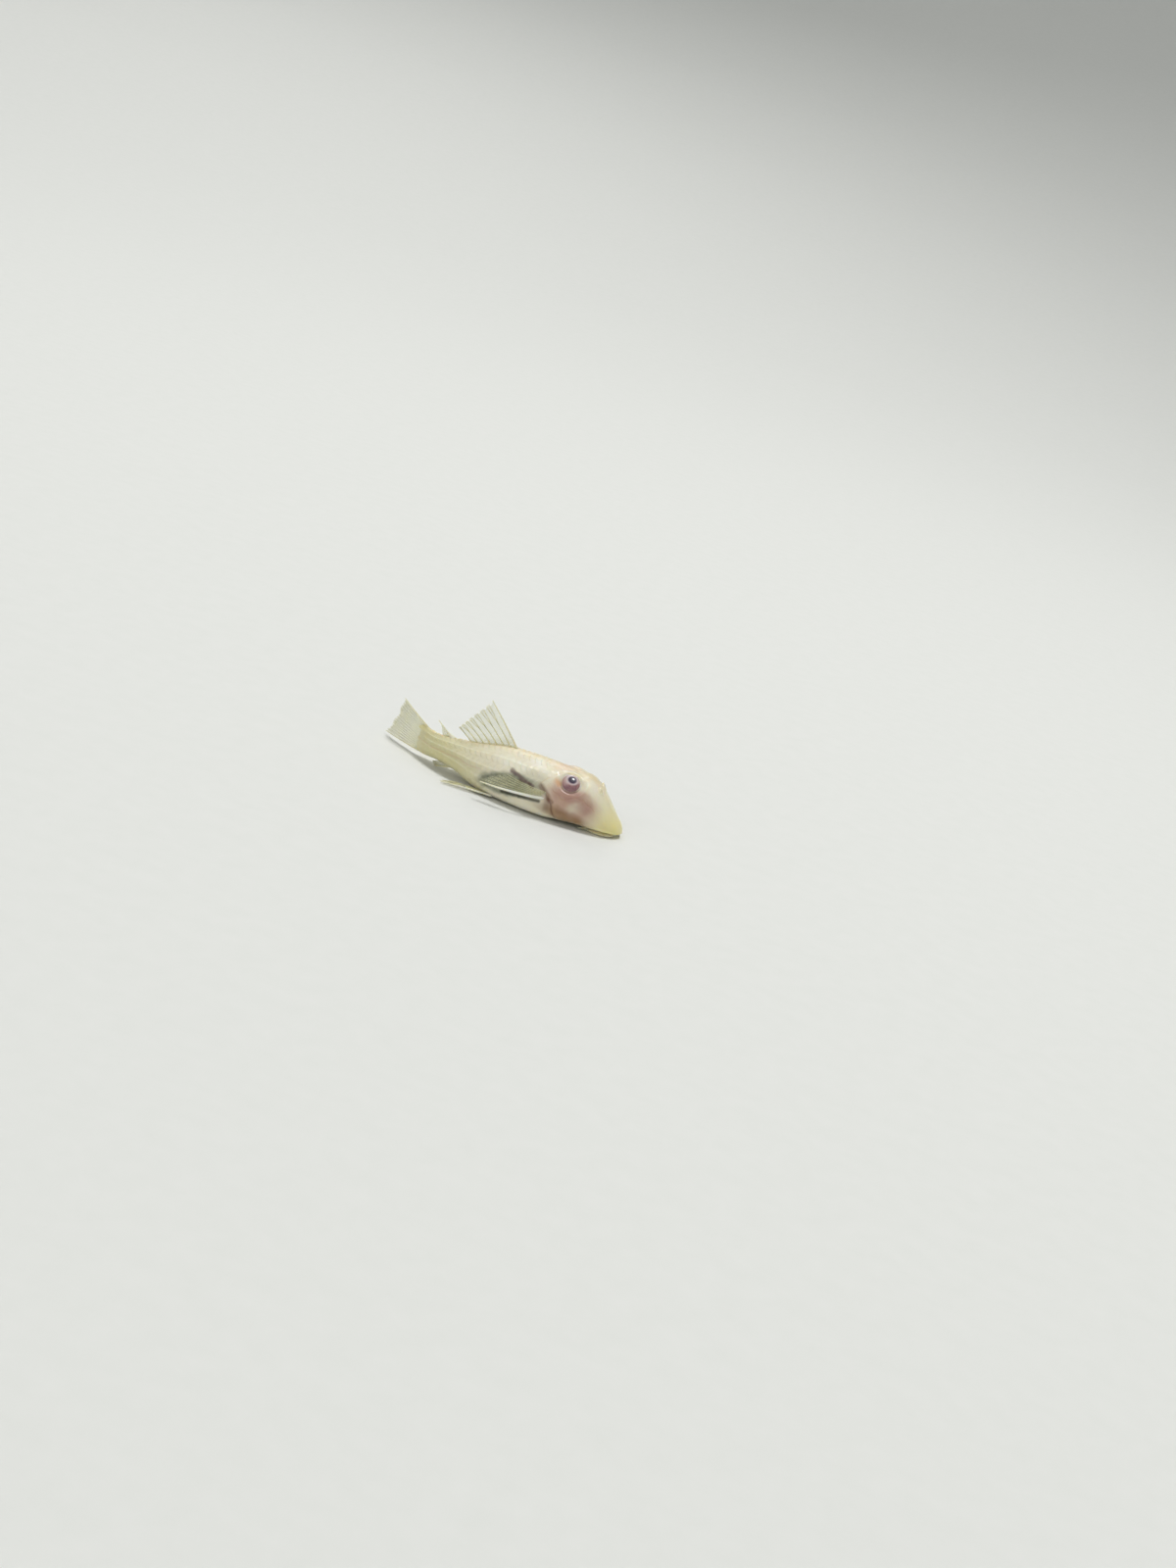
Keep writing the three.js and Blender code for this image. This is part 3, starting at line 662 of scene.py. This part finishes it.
def stain(s, deg, z, places):
    """How strongly each stain, painted shade and painted highlight shows at a place, from 0 to 1. Waves in
    places keep the stains from looking drawn."""
    # painted shadow under the pectoral fin, kept to the lower flank
    fin_shadow = streak(s, z, **FIN_SHADOW) * smooth(deg, 70, 80)
    vessel = hump(z, mix(belly_line(s), back_line(s), VESSEL_HIGH) + 0.04 * ripple(places, 2, 6), 0.05)
    cloudy = ripple(places, 1.3, 3)
    fine = ripple(places, 0.4, 4)
    s = s + 0.1 * cloudy
    z = z + 0.06 * ripple(places, 0.9, 5) + 0.03 * fine
    flank = smooth(deg, 30, 48)
    gut = spot(s, z, **GUT) * flank * (1 - 0.7 * smooth(deg, 112, 140))
    gut = gut * (0.85 + 0.1 * fine) * (0.62 + 0.38 * smooth(s, 6.2, 7.6))
    grey = np.maximum(0.2 * spot(s, z, **GREY_SHOULDER), 0.14 * spot(s, z, **GREY_NAPE)) * flank
    # Painted highlight: a white spot high on each shoulder, behind the head
    shoulder_highlight = 0.75 * hump(s, 6.6, 0.5) * hump(deg, 22, 15) * (0.8 + 0.3 * fine)
    cheek = spot(s, z, **CHEEK) * between(deg, 38, 52, 120, 140)
    mauve = np.maximum(spot(s, z, **MAUVE_REAR), 0.8 * spot(s, z, **MAUVE_FRONT))
    slit = 0.55 * streak(s, z, **SLIT_TOP) + 0.35 * streak(s, z, **SLIT_LOW)
    # Painted shade: the lower flank of the tail is tinted a darker olive
    low_tail_shade = smooth(deg, 55, 100) * between(s, 8.5, 11.5, 12, 15)
    return dict(
        gut=np.maximum(gut, grey),
        band=streak(s, z, **BAND) * flank * (0.8 + 0.15 * fine),
        # pale milky flesh above the gut, and the painted highlight on the shoulders
        milk_and_highlight=np.maximum(shoulder_highlight, 0.4 * spot(s, z, **MILKY_FLANK)),
        blush=cheek * (0.72 - 0.35 * spot(s, z, **CHEEK_PALE) + 0.08 * cloudy),
        mauve=0.55 * mauve * cheek,
        # the cheek's lower edge: brown tint and painted shade
        amber_and_shade=spot(s, z, **AMBER_AND_SHADE) * between(deg, 62, 80, 128, 150) * (0.74 + 0.1 * cloudy),
        patch=0.65 * spot(s, z, **BEHIND_EYE) * flank,
        snout=(1 - smooth(s - 0.4 * smooth(deg, 40, 90), 0.3, 2.5)) * (0.78 + 0.12 * cloudy),
        # an olive tint over the tail, darker on its lower flank as painted shade
        tail=0.7 * smooth(s, 8.8, 14.5) + 0.3 * low_tail_shade,
        # Painted edge highlight: a yellow line along the middle of the back, where thin skin shows light
        # through its edge
        edge=0.5 * hump(deg, 0, 15) * smooth(s, 0.5, 3),
        slit=slit * between(deg, 52, 62, 110, 130),
        # the painted shadow under the pectoral fin
        fin_shadow=0.85 * fin_shadow,
        blood=0.3 * vessel * smooth(deg, 30, 50) * smooth(s, 9.5, 11) * (0.8 + 0.3 * fine),
        brain=0.5 * hump(s, 5.0, 0.7) * hump(deg, 0, 22),
    )


# Joints between the skull's plates, each from (s, deg) to (s, deg)
SKULL_JOINTS = (
    ((2.5, 6), (3.5, 15)),
    ((3.5, 15), (4.9, 23)),
    ((4.9, 23), (6.3, 9)),
    ((4.9, 23), (5.75, 46)),
    ((5.75, 46), (6.1, 60)),
    ((3.6, 0), (5.1, 0)),
    ((2.5, 6), (2.2, 24)),
    ((3.0, 62), (4.3, 74)),
    ((4.3, 74), (5.2, 66)),
    ((3.0, 62), (2.1, 70)),
)
DEGREE = 0.038  # how far one degree reaches round the head, in mm


def skull_joints(s, deg):
    """Fine shallow grooves where the bones of the head meet, a little crooked."""
    bent = deg + 1.5 * np.sin(4 * s) + 0.8 * np.sin(11 * s)
    lines = [
        streak(s, bent * DEGREE, (a, b * DEGREE), (c, d * DEGREE), JOINT_WIDE)
        for (a, b), (c, d) in SKULL_JOINTS
    ]
    return np.max(lines, axis=0)


def flesh(s, deg, bare):
    """How far the head's flesh and bone stand off the plain skin."""
    cheek = 0.1 * hump(s, 4.1, 0.9) * hump(deg, 96, 24)
    brow = 0.03 * hump(s, 3.0, 1.1) * hump(deg, 30, 9)
    bridge = 0.2 * hump(s, 2.95, 0.9) * (1 - smooth(deg, 30, 72))
    nape = 0.03 * hump(deg, 0, 10) * between(s, 4.2, 5.6, 7.2, 8.4)
    shoulder = 0.09 * spot(s, bare[..., 2], **SHOULDER)
    return cheek + brow + bridge + nape + shoulder + nostril_rise(bare)


def make_body():
    """The one skin over head, torso and tail, with its plates, gill slit, nostrils and eye sockets."""
    angles = np.linspace(0, 2 * np.pi, AROUND, endpoint=False)
    degrees = degrees_off(angles)
    keel_gap, row = nearest_keel(degrees)
    in_row = np.where(keel_gap < ROW_HALF, np.cos(np.clip(keel_gap / ROW_HALF, 0, 1) * np.pi / 2), 0) ** 0.7
    plated = 1 - smooth(degrees, *ROWS_END)
    set_back = np.where(row % 2 == 0, 0.0, STAGGER) * in_row

    # The rings of the head end at the gills' edge, and those of the body follow the plates' rear edges
    edge = gill_edge(angles)[None]
    head_share = np.linspace(0, HEAD_SHARE, HEAD_RINGS)[:, None] ** HEAD_CROWDING
    head_s = head_share * mix(GILLS, edge, head_share**3)
    place = (np.arange(PLATES)[:, None] + np.array(PLATE_STEPS)).reshape(-1, 1)
    phase = np.tile(PLATE_STEPS, PLATES)[:, None]
    pitch = (SKIN_END - edge) / PLATES
    warp = (PLATE_POINT * (in_row - 0.5) + set_back * pitch) * smooth(place, 0, 2)
    lobes = 0.3 * np.abs(np.cos(angles)) ** 3 - 0.1 * np.sin(angles) ** 2
    body_s = edge + pitch * place + warp + lobes * smooth(place, PLATES - LOBES_OVER, PLATES)
    end_s = body_s[-1:] + np.linspace(0, END_LONG, END_RINGS)[1:, None]
    s = np.concatenate([np.maximum(head_s, FIRST_RING), body_s, end_s])
    angle = np.broadcast_to(angles, s.shape)
    deg = np.broadcast_to(degrees, s.shape)
    bare = skin_point(s, angle)

    # What stands off the plain skin
    from_slit = (s - slit_line(deg)) * SLIT_SLANT
    slit = between(deg, *SLIT_SPAN)
    joints = skull_joints(s, deg)
    plate = np.zeros_like(s)
    profile = 0.8 * smooth(phase, 0, 0.9) + 0.2 * phase - smooth(phase, 0.95, 1)
    plate[len(head_s) : len(head_s) + len(body_s)] = profile * smooth(place, 0.3, 3) * in_row * plated
    keel = hump(np.broadcast_to(keel_gap, s.shape), 0, KEEL_HALF) * (1 - smooth(deg, *KEELS_END))
    keel = keel * between(s, GILLS + 0.6, GILLS + 2, BODY_LENGTH - 0.2, BODY_LENGTH + 0.3)
    uneven = 0.007 * ripple(bare, 0.45, 1) + 0.003 * ripple(bare, 0.17, 2)
    rise = (
        flesh(s, deg, bare)
        + slit * (SLIT_LIP * hump(from_slit, -0.15, 0.13) - SLIT_DEEP * hump(from_slit, 0.02, 0.05))
        - JOINT_DEEP * joints
        + PLATE_RISE * plate
        + KEEL_RISE * keel
        + uneven * between(s, 0.15, 1, BODY_LENGTH - 1, BODY_LENGTH)
    )
    points = skin_point(s, angle, rise)
    for side in (1, -1):
        points = seat_eye(points, side)

    marks = stain(s, deg, bare[..., 2], bare)
    marks["keel"] = 0.35 * keel
    # the painted edge highlight, and the skull's joints tinted the same yellow
    marks["edge"] = np.maximum(marks["edge"], 0.3 * joints)
    marks["slit"] = np.maximum(marks["slit"], slit * hump(from_slit, 0.02, 0.06) * 0.6)
    marks = {name: np.append(np.ravel(v), v[0].mean()) for name, v in marks.items()}
    rings, faces = closed_grid(points, seam=True)
    add_piece("skin", pose(rings), faces, skin_material, ("head", "torso", "tail"), marks)


make_body()

# Eyes


def make_eyeball(name, side):
    """A flattened globe. Its paint is told by the distance from the pupil's middle, in millimetres."""
    RINGS, ROUND = 64, 96
    PUPIL_AHEAD, PUPIL_ABOVE, PUPIL_FLAT = 0.02, 0.17, 1.05
    centre, aim = eye_frame(side)
    upward = unit(np.array([0, 0, 1]) - aim[2] * aim)
    forward = np.cross(upward, aim)
    if forward[0] > 0:
        forward = -forward
    v = np.linspace(0, np.pi, RINGS + 1)[1:-1, None]
    u = np.linspace(0, 2 * np.pi, ROUND, endpoint=False)[None]
    ahead = EYE_RADIUS * np.sin(v) * np.cos(u)
    above = EYE_RADIUS * np.sin(v) * np.sin(u)
    out = EYE_DEPTH * np.cos(v) + 0 * u
    rings = centre + ahead[..., None] * forward + above[..., None] * upward + out[..., None] * aim
    points, faces = closed_grid(rings, flip=side < 0)
    offset = points - centre
    ahead, above = offset @ forward, offset @ upward
    distance = np.hypot(ahead - PUPIL_AHEAD, (above - PUPIL_ABOVE) * PUPIL_FLAT)
    crescent = smooth(distance, 0.36, 0.5) * smooth(0.3 * ahead - above, -0.12, 0.34)
    marks = {"from_pupil": distance, "crescent": crescent}
    add_piece(name, pose(points), faces, eye_material, (name,), marks)


for name, side in (("eye_left", 1), ("eye_right", -1)):
    make_eyeball(name, side)

# Mouth

LIP_AROUND, LIP_RINGS = 128, 73
# The lips cut through from the opening, over the sucking face and the rim, and back inside the head: the
# distance from the middle as a share of the lips' reach, and the height
LIP_SECTION = (
    (0.03, 0.15), (0.15, 0.15), (0.28, 0.14), (0.38, 0.12), (0.46, 0.08), (0.53, 0.035), (0.6, 0.008),
    (0.68, 0), (0.76, 0), (0.84, 0), (0.91, 0.004), (0.96, 0.025), (0.99, 0.06), (1.0, 0.11), (0.985, 0.16),
    (0.94, 0.21), (0.88, 0.26), (0.8, 0.3), (0.03, 0.3),
)
FRILLS, FRILL = 26, 0.012  # round the rim, and how far each reaches
BUDS, BUD = 22, 0.014  # in each ring of buds on the lips, and their height
BUD_RINGS = 52  # the rings of buds lie 2 pi / 52 of the lips' reach apart


def make_barbel(side):
    """A short feeler at the corner of the mouth, bending back towards its tip."""
    LONG, OUT, BEND, DROP = 0.62, 0.5, 0.12, 0.03
    THICK, THIN = 0.12, 0.03
    STEPS, SIDES = 16, 10
    v = np.linspace(0, 1, STEPS)
    start = np.array([MOUTH_PLACE + LIP_LONG * 0.5, side * LIP_WIDE * 0.72, 0.15])
    path = start + np.stack([LONG * v, side * (OUT * v - BEND * v * v), -DROP * v], -1)
    return tube(path, mix(THICK, THIN, v), np.array([0, 0, 1.0]), SIDES)


def make_mouth():
    """The sucking lips, notched at the sides and frilled round the rim, and a barbel at each corner."""
    section = np.array(LIP_SECTION)
    at = np.linspace(0, len(section) - 1, LIP_RINGS)
    r, z = (np.interp(at, np.arange(len(section)), section[:, k])[:, None] for k in (0, 1))
    a = np.linspace(0, 2 * np.pi, LIP_AROUND, endpoint=False)[None]
    outline = 1 + 0.03 * np.cos(2 * a) - 0.05 * hump(np.abs(np.sin(a)), 1, 0.12)
    reach = r * outline + FRILL * np.cos(FRILLS * a) * smooth(r, 0.8, 1)
    buds = BUD * np.cos(r * BUD_RINGS) * np.cos(BUDS * a) * hump(r, 0.75, 0.2)
    height = z + np.maximum(buds, 0)
    rings = np.stack(
        [MOUTH_PLACE - LIP_LONG * reach * np.cos(a), LIP_WIDE * reach * np.sin(a), height], -1
    )
    inside = np.broadcast_to(1 - smooth(r, 0.3, 0.62), reach.shape)
    pile = Pile()
    pile.add(*closed_grid(rings), np.append(inside.ravel(), [1, 0]))
    for side in (1, -1):
        pile.add(*make_barbel(side), 0.0)
    points, faces, inside = pile.all()
    add_piece("lips", pose(points), faces, lip_material, ("sucker_mouth",), {"inside": inside})


make_mouth()

# Fins


class Fin:
    """A fan of rays. base and tip are one place for each ray, bow carries the middle of each aside."""

    def __init__(self, base, tip, across, bow=(0, 0, 0), sway=0.0):
        self.base, self.tip = np.asarray(base, float), np.asarray(tip, float)
        self.across, self.bow, self.sway = unit(across), np.asarray(bow, float), sway
        self.rays = len(self.base)

    def at(self, u, v):
        """The place at ray number u and share v along it."""
        u, v = np.broadcast_arrays(np.asarray(u, float), np.asarray(v, float))
        number = np.arange(self.rays)
        low = np.stack([np.interp(u, number, self.base[:, k]) for k in range(3)], -1)
        high = np.stack([np.interp(u, number, self.tip[:, k]) for k in range(3)], -1)
        wave = self.sway * v**2 * (0.35 + np.sin(1.1 * u + 0.6))  # the rim is never quite flat
        bowed = low + (high - low) * v[..., None] + self.bow * (4 * v * (1 - v))[..., None]
        return bowed + self.across * wave[..., None]


def make_web_of(fin, notch):
    """The clear skin of a fin: a closed thin sheet, a little scalloped between the rays. Also how near each
    point is to the root."""
    ROWS, PER_RAY = 40, 10
    ROOT_HALF, RIM_HALF = 0.03, 0.012  # half the sheet's thickness
    REACH = 0.985  # of the rays' length
    columns = (fin.rays - 1) * PER_RAY + 1
    u = np.linspace(0, fin.rays - 1, columns)
    valley = 0.5 - 0.5 * np.cos(u * 2 * np.pi)
    share = np.linspace(0, 1, ROWS)[:, None]
    v = share * (REACH - notch * valley)
    middle = fin.at(u[None] + 0 * v, v)
    left, right = (middle + fin.across * (mix(ROOT_HALF, RIM_HALF, v) * k)[..., None] for k in (1, -1))
    points = np.concatenate([left, right[:, ::-1]], axis=1).reshape(-1, 3)
    faces = grid_faces(ROWS, 2 * columns)
    last = (ROWS - 1) * 2 * columns
    for i in range(columns - 1):
        a, b, c, d = i, i + 1, 2 * columns - 2 - i, 2 * columns - 1 - i
        faces += [[a, d, c, b], [last + a, last + b, last + c, last + d]]
    return points, faces, np.repeat(1 - smooth(share, 0, 0.35), 2 * columns)


FIRST_FORK, SECOND_FORK = 0.55, 0.8  # where a soft ray forks, as shares of its length
OVERLAP = 0.01  # each twig starts this much inside the last


def make_rays_of(fin, thick, spines, spine, white):
    """The rays of a fin: stout unbranched spines, and soft rays that fork twice towards their tips. Also how
    far along its ray and how much of a spine each point is."""
    STEPS, SIDES = 32, 8
    pile = Pile()
    whiteness = []

    def add_twig(number, start, end, stout, slim, white=0.0):
        """A bar from share start to share end. number gives the ray's number at each share."""
        v = np.linspace(start, end, STEPS)
        path = fin.at(np.clip(number(v), 0, fin.rays - 1), v)
        steps = np.linalg.norm(np.diff(path, axis=0), axis=1)
        along = start * 3 + np.append(0, np.cumsum(steps))  # a ray is taken as 3 mm long up to the twig
        points, faces = tube(path, mix(stout, slim, np.linspace(0, 1, STEPS)), fin.across, SIDES)
        pile.add(points, faces, np.append(np.repeat(along, SIDES), [along[0], along[-1]]))
        fading = white * (1 - 0.6 * smooth(v, 0.55, 1))
        whiteness.append(np.append(np.repeat(fading, SIDES), [white, 0]))

    for i in range(fin.rays):
        if i in spines:
            add_twig(lambda v: i + 0 * v, 0, 1, spine, 0.4 * spine, white)
            continue
        add_twig(lambda v: i + 0 * v, 0, FIRST_FORK + OVERLAP, thick, 0.72 * thick)
        for fork in (-1, 1):

            def branch(v):
                return i + 0.19 * fork * smooth(v, 0.5, 0.85)

            add_twig(branch, FIRST_FORK - OVERLAP, SECOND_FORK, 0.62 * thick, 0.5 * thick)
            for fine in (-1, 1):

                def tip(v):
                    return branch(v) + 0.08 * fine * smooth(v, 0.76, 1)

                add_twig(tip, SECOND_FORK - OVERLAP, 1, 0.45 * thick, 0.3 * thick)
    return *pile.all(), np.concatenate(whiteness)


def add_web(name, fin, notch, clear, fleshy):
    """Adds a fin's web. It is clear near the edge and fleshier at the root."""
    points, faces, near_root = make_web_of(fin, notch)
    marks = {"flesh": mix(clear, fleshy, near_root)}
    add_piece(name + "_web", pose(points), faces, web_material, (name,), marks)


def add_fin(name, fin, thick, spines=(0,), spine=0.075, white=0.3, fleshy=0.35):
    """Adds a fin's rays and web. thick and spine are the radii of its soft rays and its spines."""
    NOTCH = 0.04  # how deep the rim is scalloped, as a share of the rays
    points, faces, along, whiteness = make_rays_of(fin, thick, spines, spine, white)
    marks = {"along": along, "spine": whiteness}
    add_piece(name + "_rays", pose(points), faces, ray_material, (name,), marks)
    add_web(name, fin, NOTCH, fleshy / 4, fleshy)


def rising(length, degrees):
    """A step in the upright plane of the spine, rising by an angle."""
    up = np.radians(degrees)
    return np.stack([length * np.cos(up), 0 * up, length * np.sin(up)], -1)


def backward(length, out, up, side):
    """A step back along the flank, out from the side and up."""
    out, up = np.radians(out), np.radians(up)
    level = length * np.cos(up)
    return np.stack([level * np.cos(out), side * level * np.sin(out), length * np.sin(up)], -1)


UPRIGHT = (0, 1, 0)  # an upright fin's thickness lies across the spine


def rays_of(fin):
    """Each ray's share from first to last, and its own measures."""
    u = np.linspace(0, 1, fin["rays"])
    own = {key: mix(fin["first"][key], fin["last"][key], u) for key in fin["first"]}
    own["long"] = mix(fin["first"]["long"], fin["last"]["long"], u ** fin.get("fall", 1))
    return u, own


def upright_fan(fin, origin, foot, line, side=1, **shape):
    """A fan along the back line, or along the belly line with side -1."""
    u, own = rays_of(fin)
    s = origin + foot * u
    base = np.stack([s, 0 * s, line(s)], -1)
    tip = base + (0, 0, side * GAP) + rising(own["long"], own["rise"])
    return Fin(base - (0, 0, side * ROOTED), tip, UPRIGHT, **shape)


def paired_fan(fin, origin, side, across, **shape):
    """A fan of a paired fin, its root drawn into the body."""
    AHEAD = 0.2  # how far in front of the solid's root it starts
    u, own = rays_of(fin)
    base = np.stack([origin + fin["foot"] * u, side * own["out"], own["high"]], -1)
    tip = base + backward(own["long"], own["splay"], own["rise"], side)
    return Fin(base + (-AHEAD, -side * fin["tuck"], 0), tip, across, **shape)


def make_adipose():
    """A stout spine that points back, with a fleshy heel and a small web under it."""
    ROOT, POINT, HEEL = 0.1, 0.035, 0.1
    STEPS, SIDES = 40, 12
    fin = upright_fan(ADIPOSE, ADIPOSE_ORIGIN, ADIPOSE["foot"], back_line)
    v = np.linspace(0, 1, STEPS)
    radii = mix(ROOT, POINT, v) + HEEL * hump(v, 0, 0.2)
    points, faces = tube(fin.at(0 * v, v), radii, fin.across, SIDES)
    long = ADIPOSE["first"]["long"]
    along = np.append(np.repeat(v * long, SIDES), [0, long])
    marks = {"along": along, "spine": 0.5 + 0 * along}
    add_piece("adipose_fin_spine", pose(points), faces, ray_material, ("adipose_fin",), marks)
    add_web("adipose_fin", fin, 0, 0.3, 0.9)


def make_caudal():
    """The tail fin, its rays rooted under the skin of the tail."""
    ROOT = 0.3
    u, own = rays_of(CAUDAL)
    s = BODY_LENGTH + GAP + 0 * u
    high = mix(back_line(s) - CAUDAL_INSET, belly_line(s) + CAUDAL_INSET, u)
    base = np.stack([s, 0 * s, high], -1)
    tip = base + rising(own["long"] + CAUDAL_FORK * (2 * u - 1) ** 2, own["rise"])
    fan = Fin(base - (ROOT, 0, 0), tip, UPRIGHT, sway=0.08)
    add_fin("caudal_fin", fan, CAUDAL["thick"], (0, CAUDAL["rays"] - 1), 0.055, white=0, fleshy=0.6)


dorsal = upright_fan(DORSAL, DORSAL_ORIGIN, DORSAL_END - DORSAL_ORIGIN, back_line, bow=(0, 0, 0.1), sway=0.1)
add_fin("dorsal_fin", dorsal, DORSAL["thick"])
make_adipose()
make_caudal()
add_fin("anal_fin", upright_fan(ANAL, ANAL_ORIGIN, ANAL["foot"], belly_line, -1), ANAL["thick"])
for name, side in (("left", 1), ("right", -1)):
    outward, bow = (0, side * 0.92, 0.38), (0, side * 0.32, 0)
    fan = paired_fan(PECTORAL, PECTORAL_ORIGIN, side, outward, bow=bow, sway=0.04)
    # The pectoral spines are painted full white: pale bone, and a painted highlight along each spine
    add_fin("pectoral_fin_" + name, fan, PECTORAL["thick"], spine=0.115, white=1, fleshy=0.1)
    fan = paired_fan(PELVIC, PELVIC_ORIGIN, side, (0, 0, 1), bow=(0, 0, 0.06), sway=0.03)
    add_fin("pelvic_fin_" + name, fan, PELVIC["thick"], white=0.7)

# The floor, sweeping up behind, and soft light


def make_stage():
    """A round sheet of matt paper, flat under the fish and curving up to a wall far off."""
    FLAT, SWEEP, WALL = 0.3, 1.2, 0.6  # metres
    bend = np.linspace(0, np.pi / 2, 24)
    flat = np.append(0.001, np.linspace(0.02, FLAT, 12))
    r = np.concatenate([flat, FLAT + SWEEP * np.sin(bend[1:]), [FLAT + SWEEP]])
    z = np.concatenate([0 * flat, SWEEP * (1 - np.cos(bend[1:])), [SWEEP + WALL]])
    a = np.linspace(0, 2 * np.pi, 96, endpoint=False)
    points = np.stack([r[:, None] * np.cos(a), r[:, None] * np.sin(a), z[:, None] + 0 * a], -1).reshape(-1, 3)
    mesh = bpy.data.meshes.new("paper_floor")
    mesh.from_pydata(points.tolist(), [], grid_faces(len(r), len(a)) + [list(range(len(a)))])
    mesh.shade_smooth()
    material, tree, shader = new_material("matt_paper")
    place = node(tree, "ShaderNodeTexCoord").outputs["Object"]
    fibre = node(tree, "ShaderNodeTexNoise", {"Vector": place, "Scale": per_metre(1.5), "Detail": 3.0})
    colour = over(tree, tone("#e3e4df"), tone("#e8e8e4"), fibre.outputs["Fac"])
    fill(tree, shader, {"Base Color": colour, "Roughness": 0.9})
    mesh.materials.append(material)
    floor = bpy.data.objects.new("paper_floor", mesh)
    bpy.context.collection.objects.link(floor)


def add_light(name, place, size, power):
    """A round white lamp that faces the fish, in metres and watts."""
    data = bpy.data.lights.new(name, "AREA")
    data.shape, data.size, data.energy = "DISK", size, power
    light = bpy.data.objects.new(name, data)
    light.location = place
    light.rotation_euler = (-Vector(place)).to_track_quat("-Z", "Y").to_euler()
    bpy.context.collection.objects.link(light)


make_stage()
add_light("lamp_overhead", (0.08, 0.08, 0.6), 0.17, 1.9)
add_light("window_front", (-0.35, -0.5, 0.35), 0.5, 0.8)
add_light("rear_glow", (-0.2, 0.5, 0.4), 0.4, 0.7)
world = bpy.data.worlds.new("pale_room")
world.use_nodes = True
fill(world.node_tree, world.node_tree.nodes["Background"], {"Color": tone("#e8ebee"), "Strength": 0.5})
bpy.context.scene.world = world
bpy.context.scene.view_settings.view_transform = "Standard"
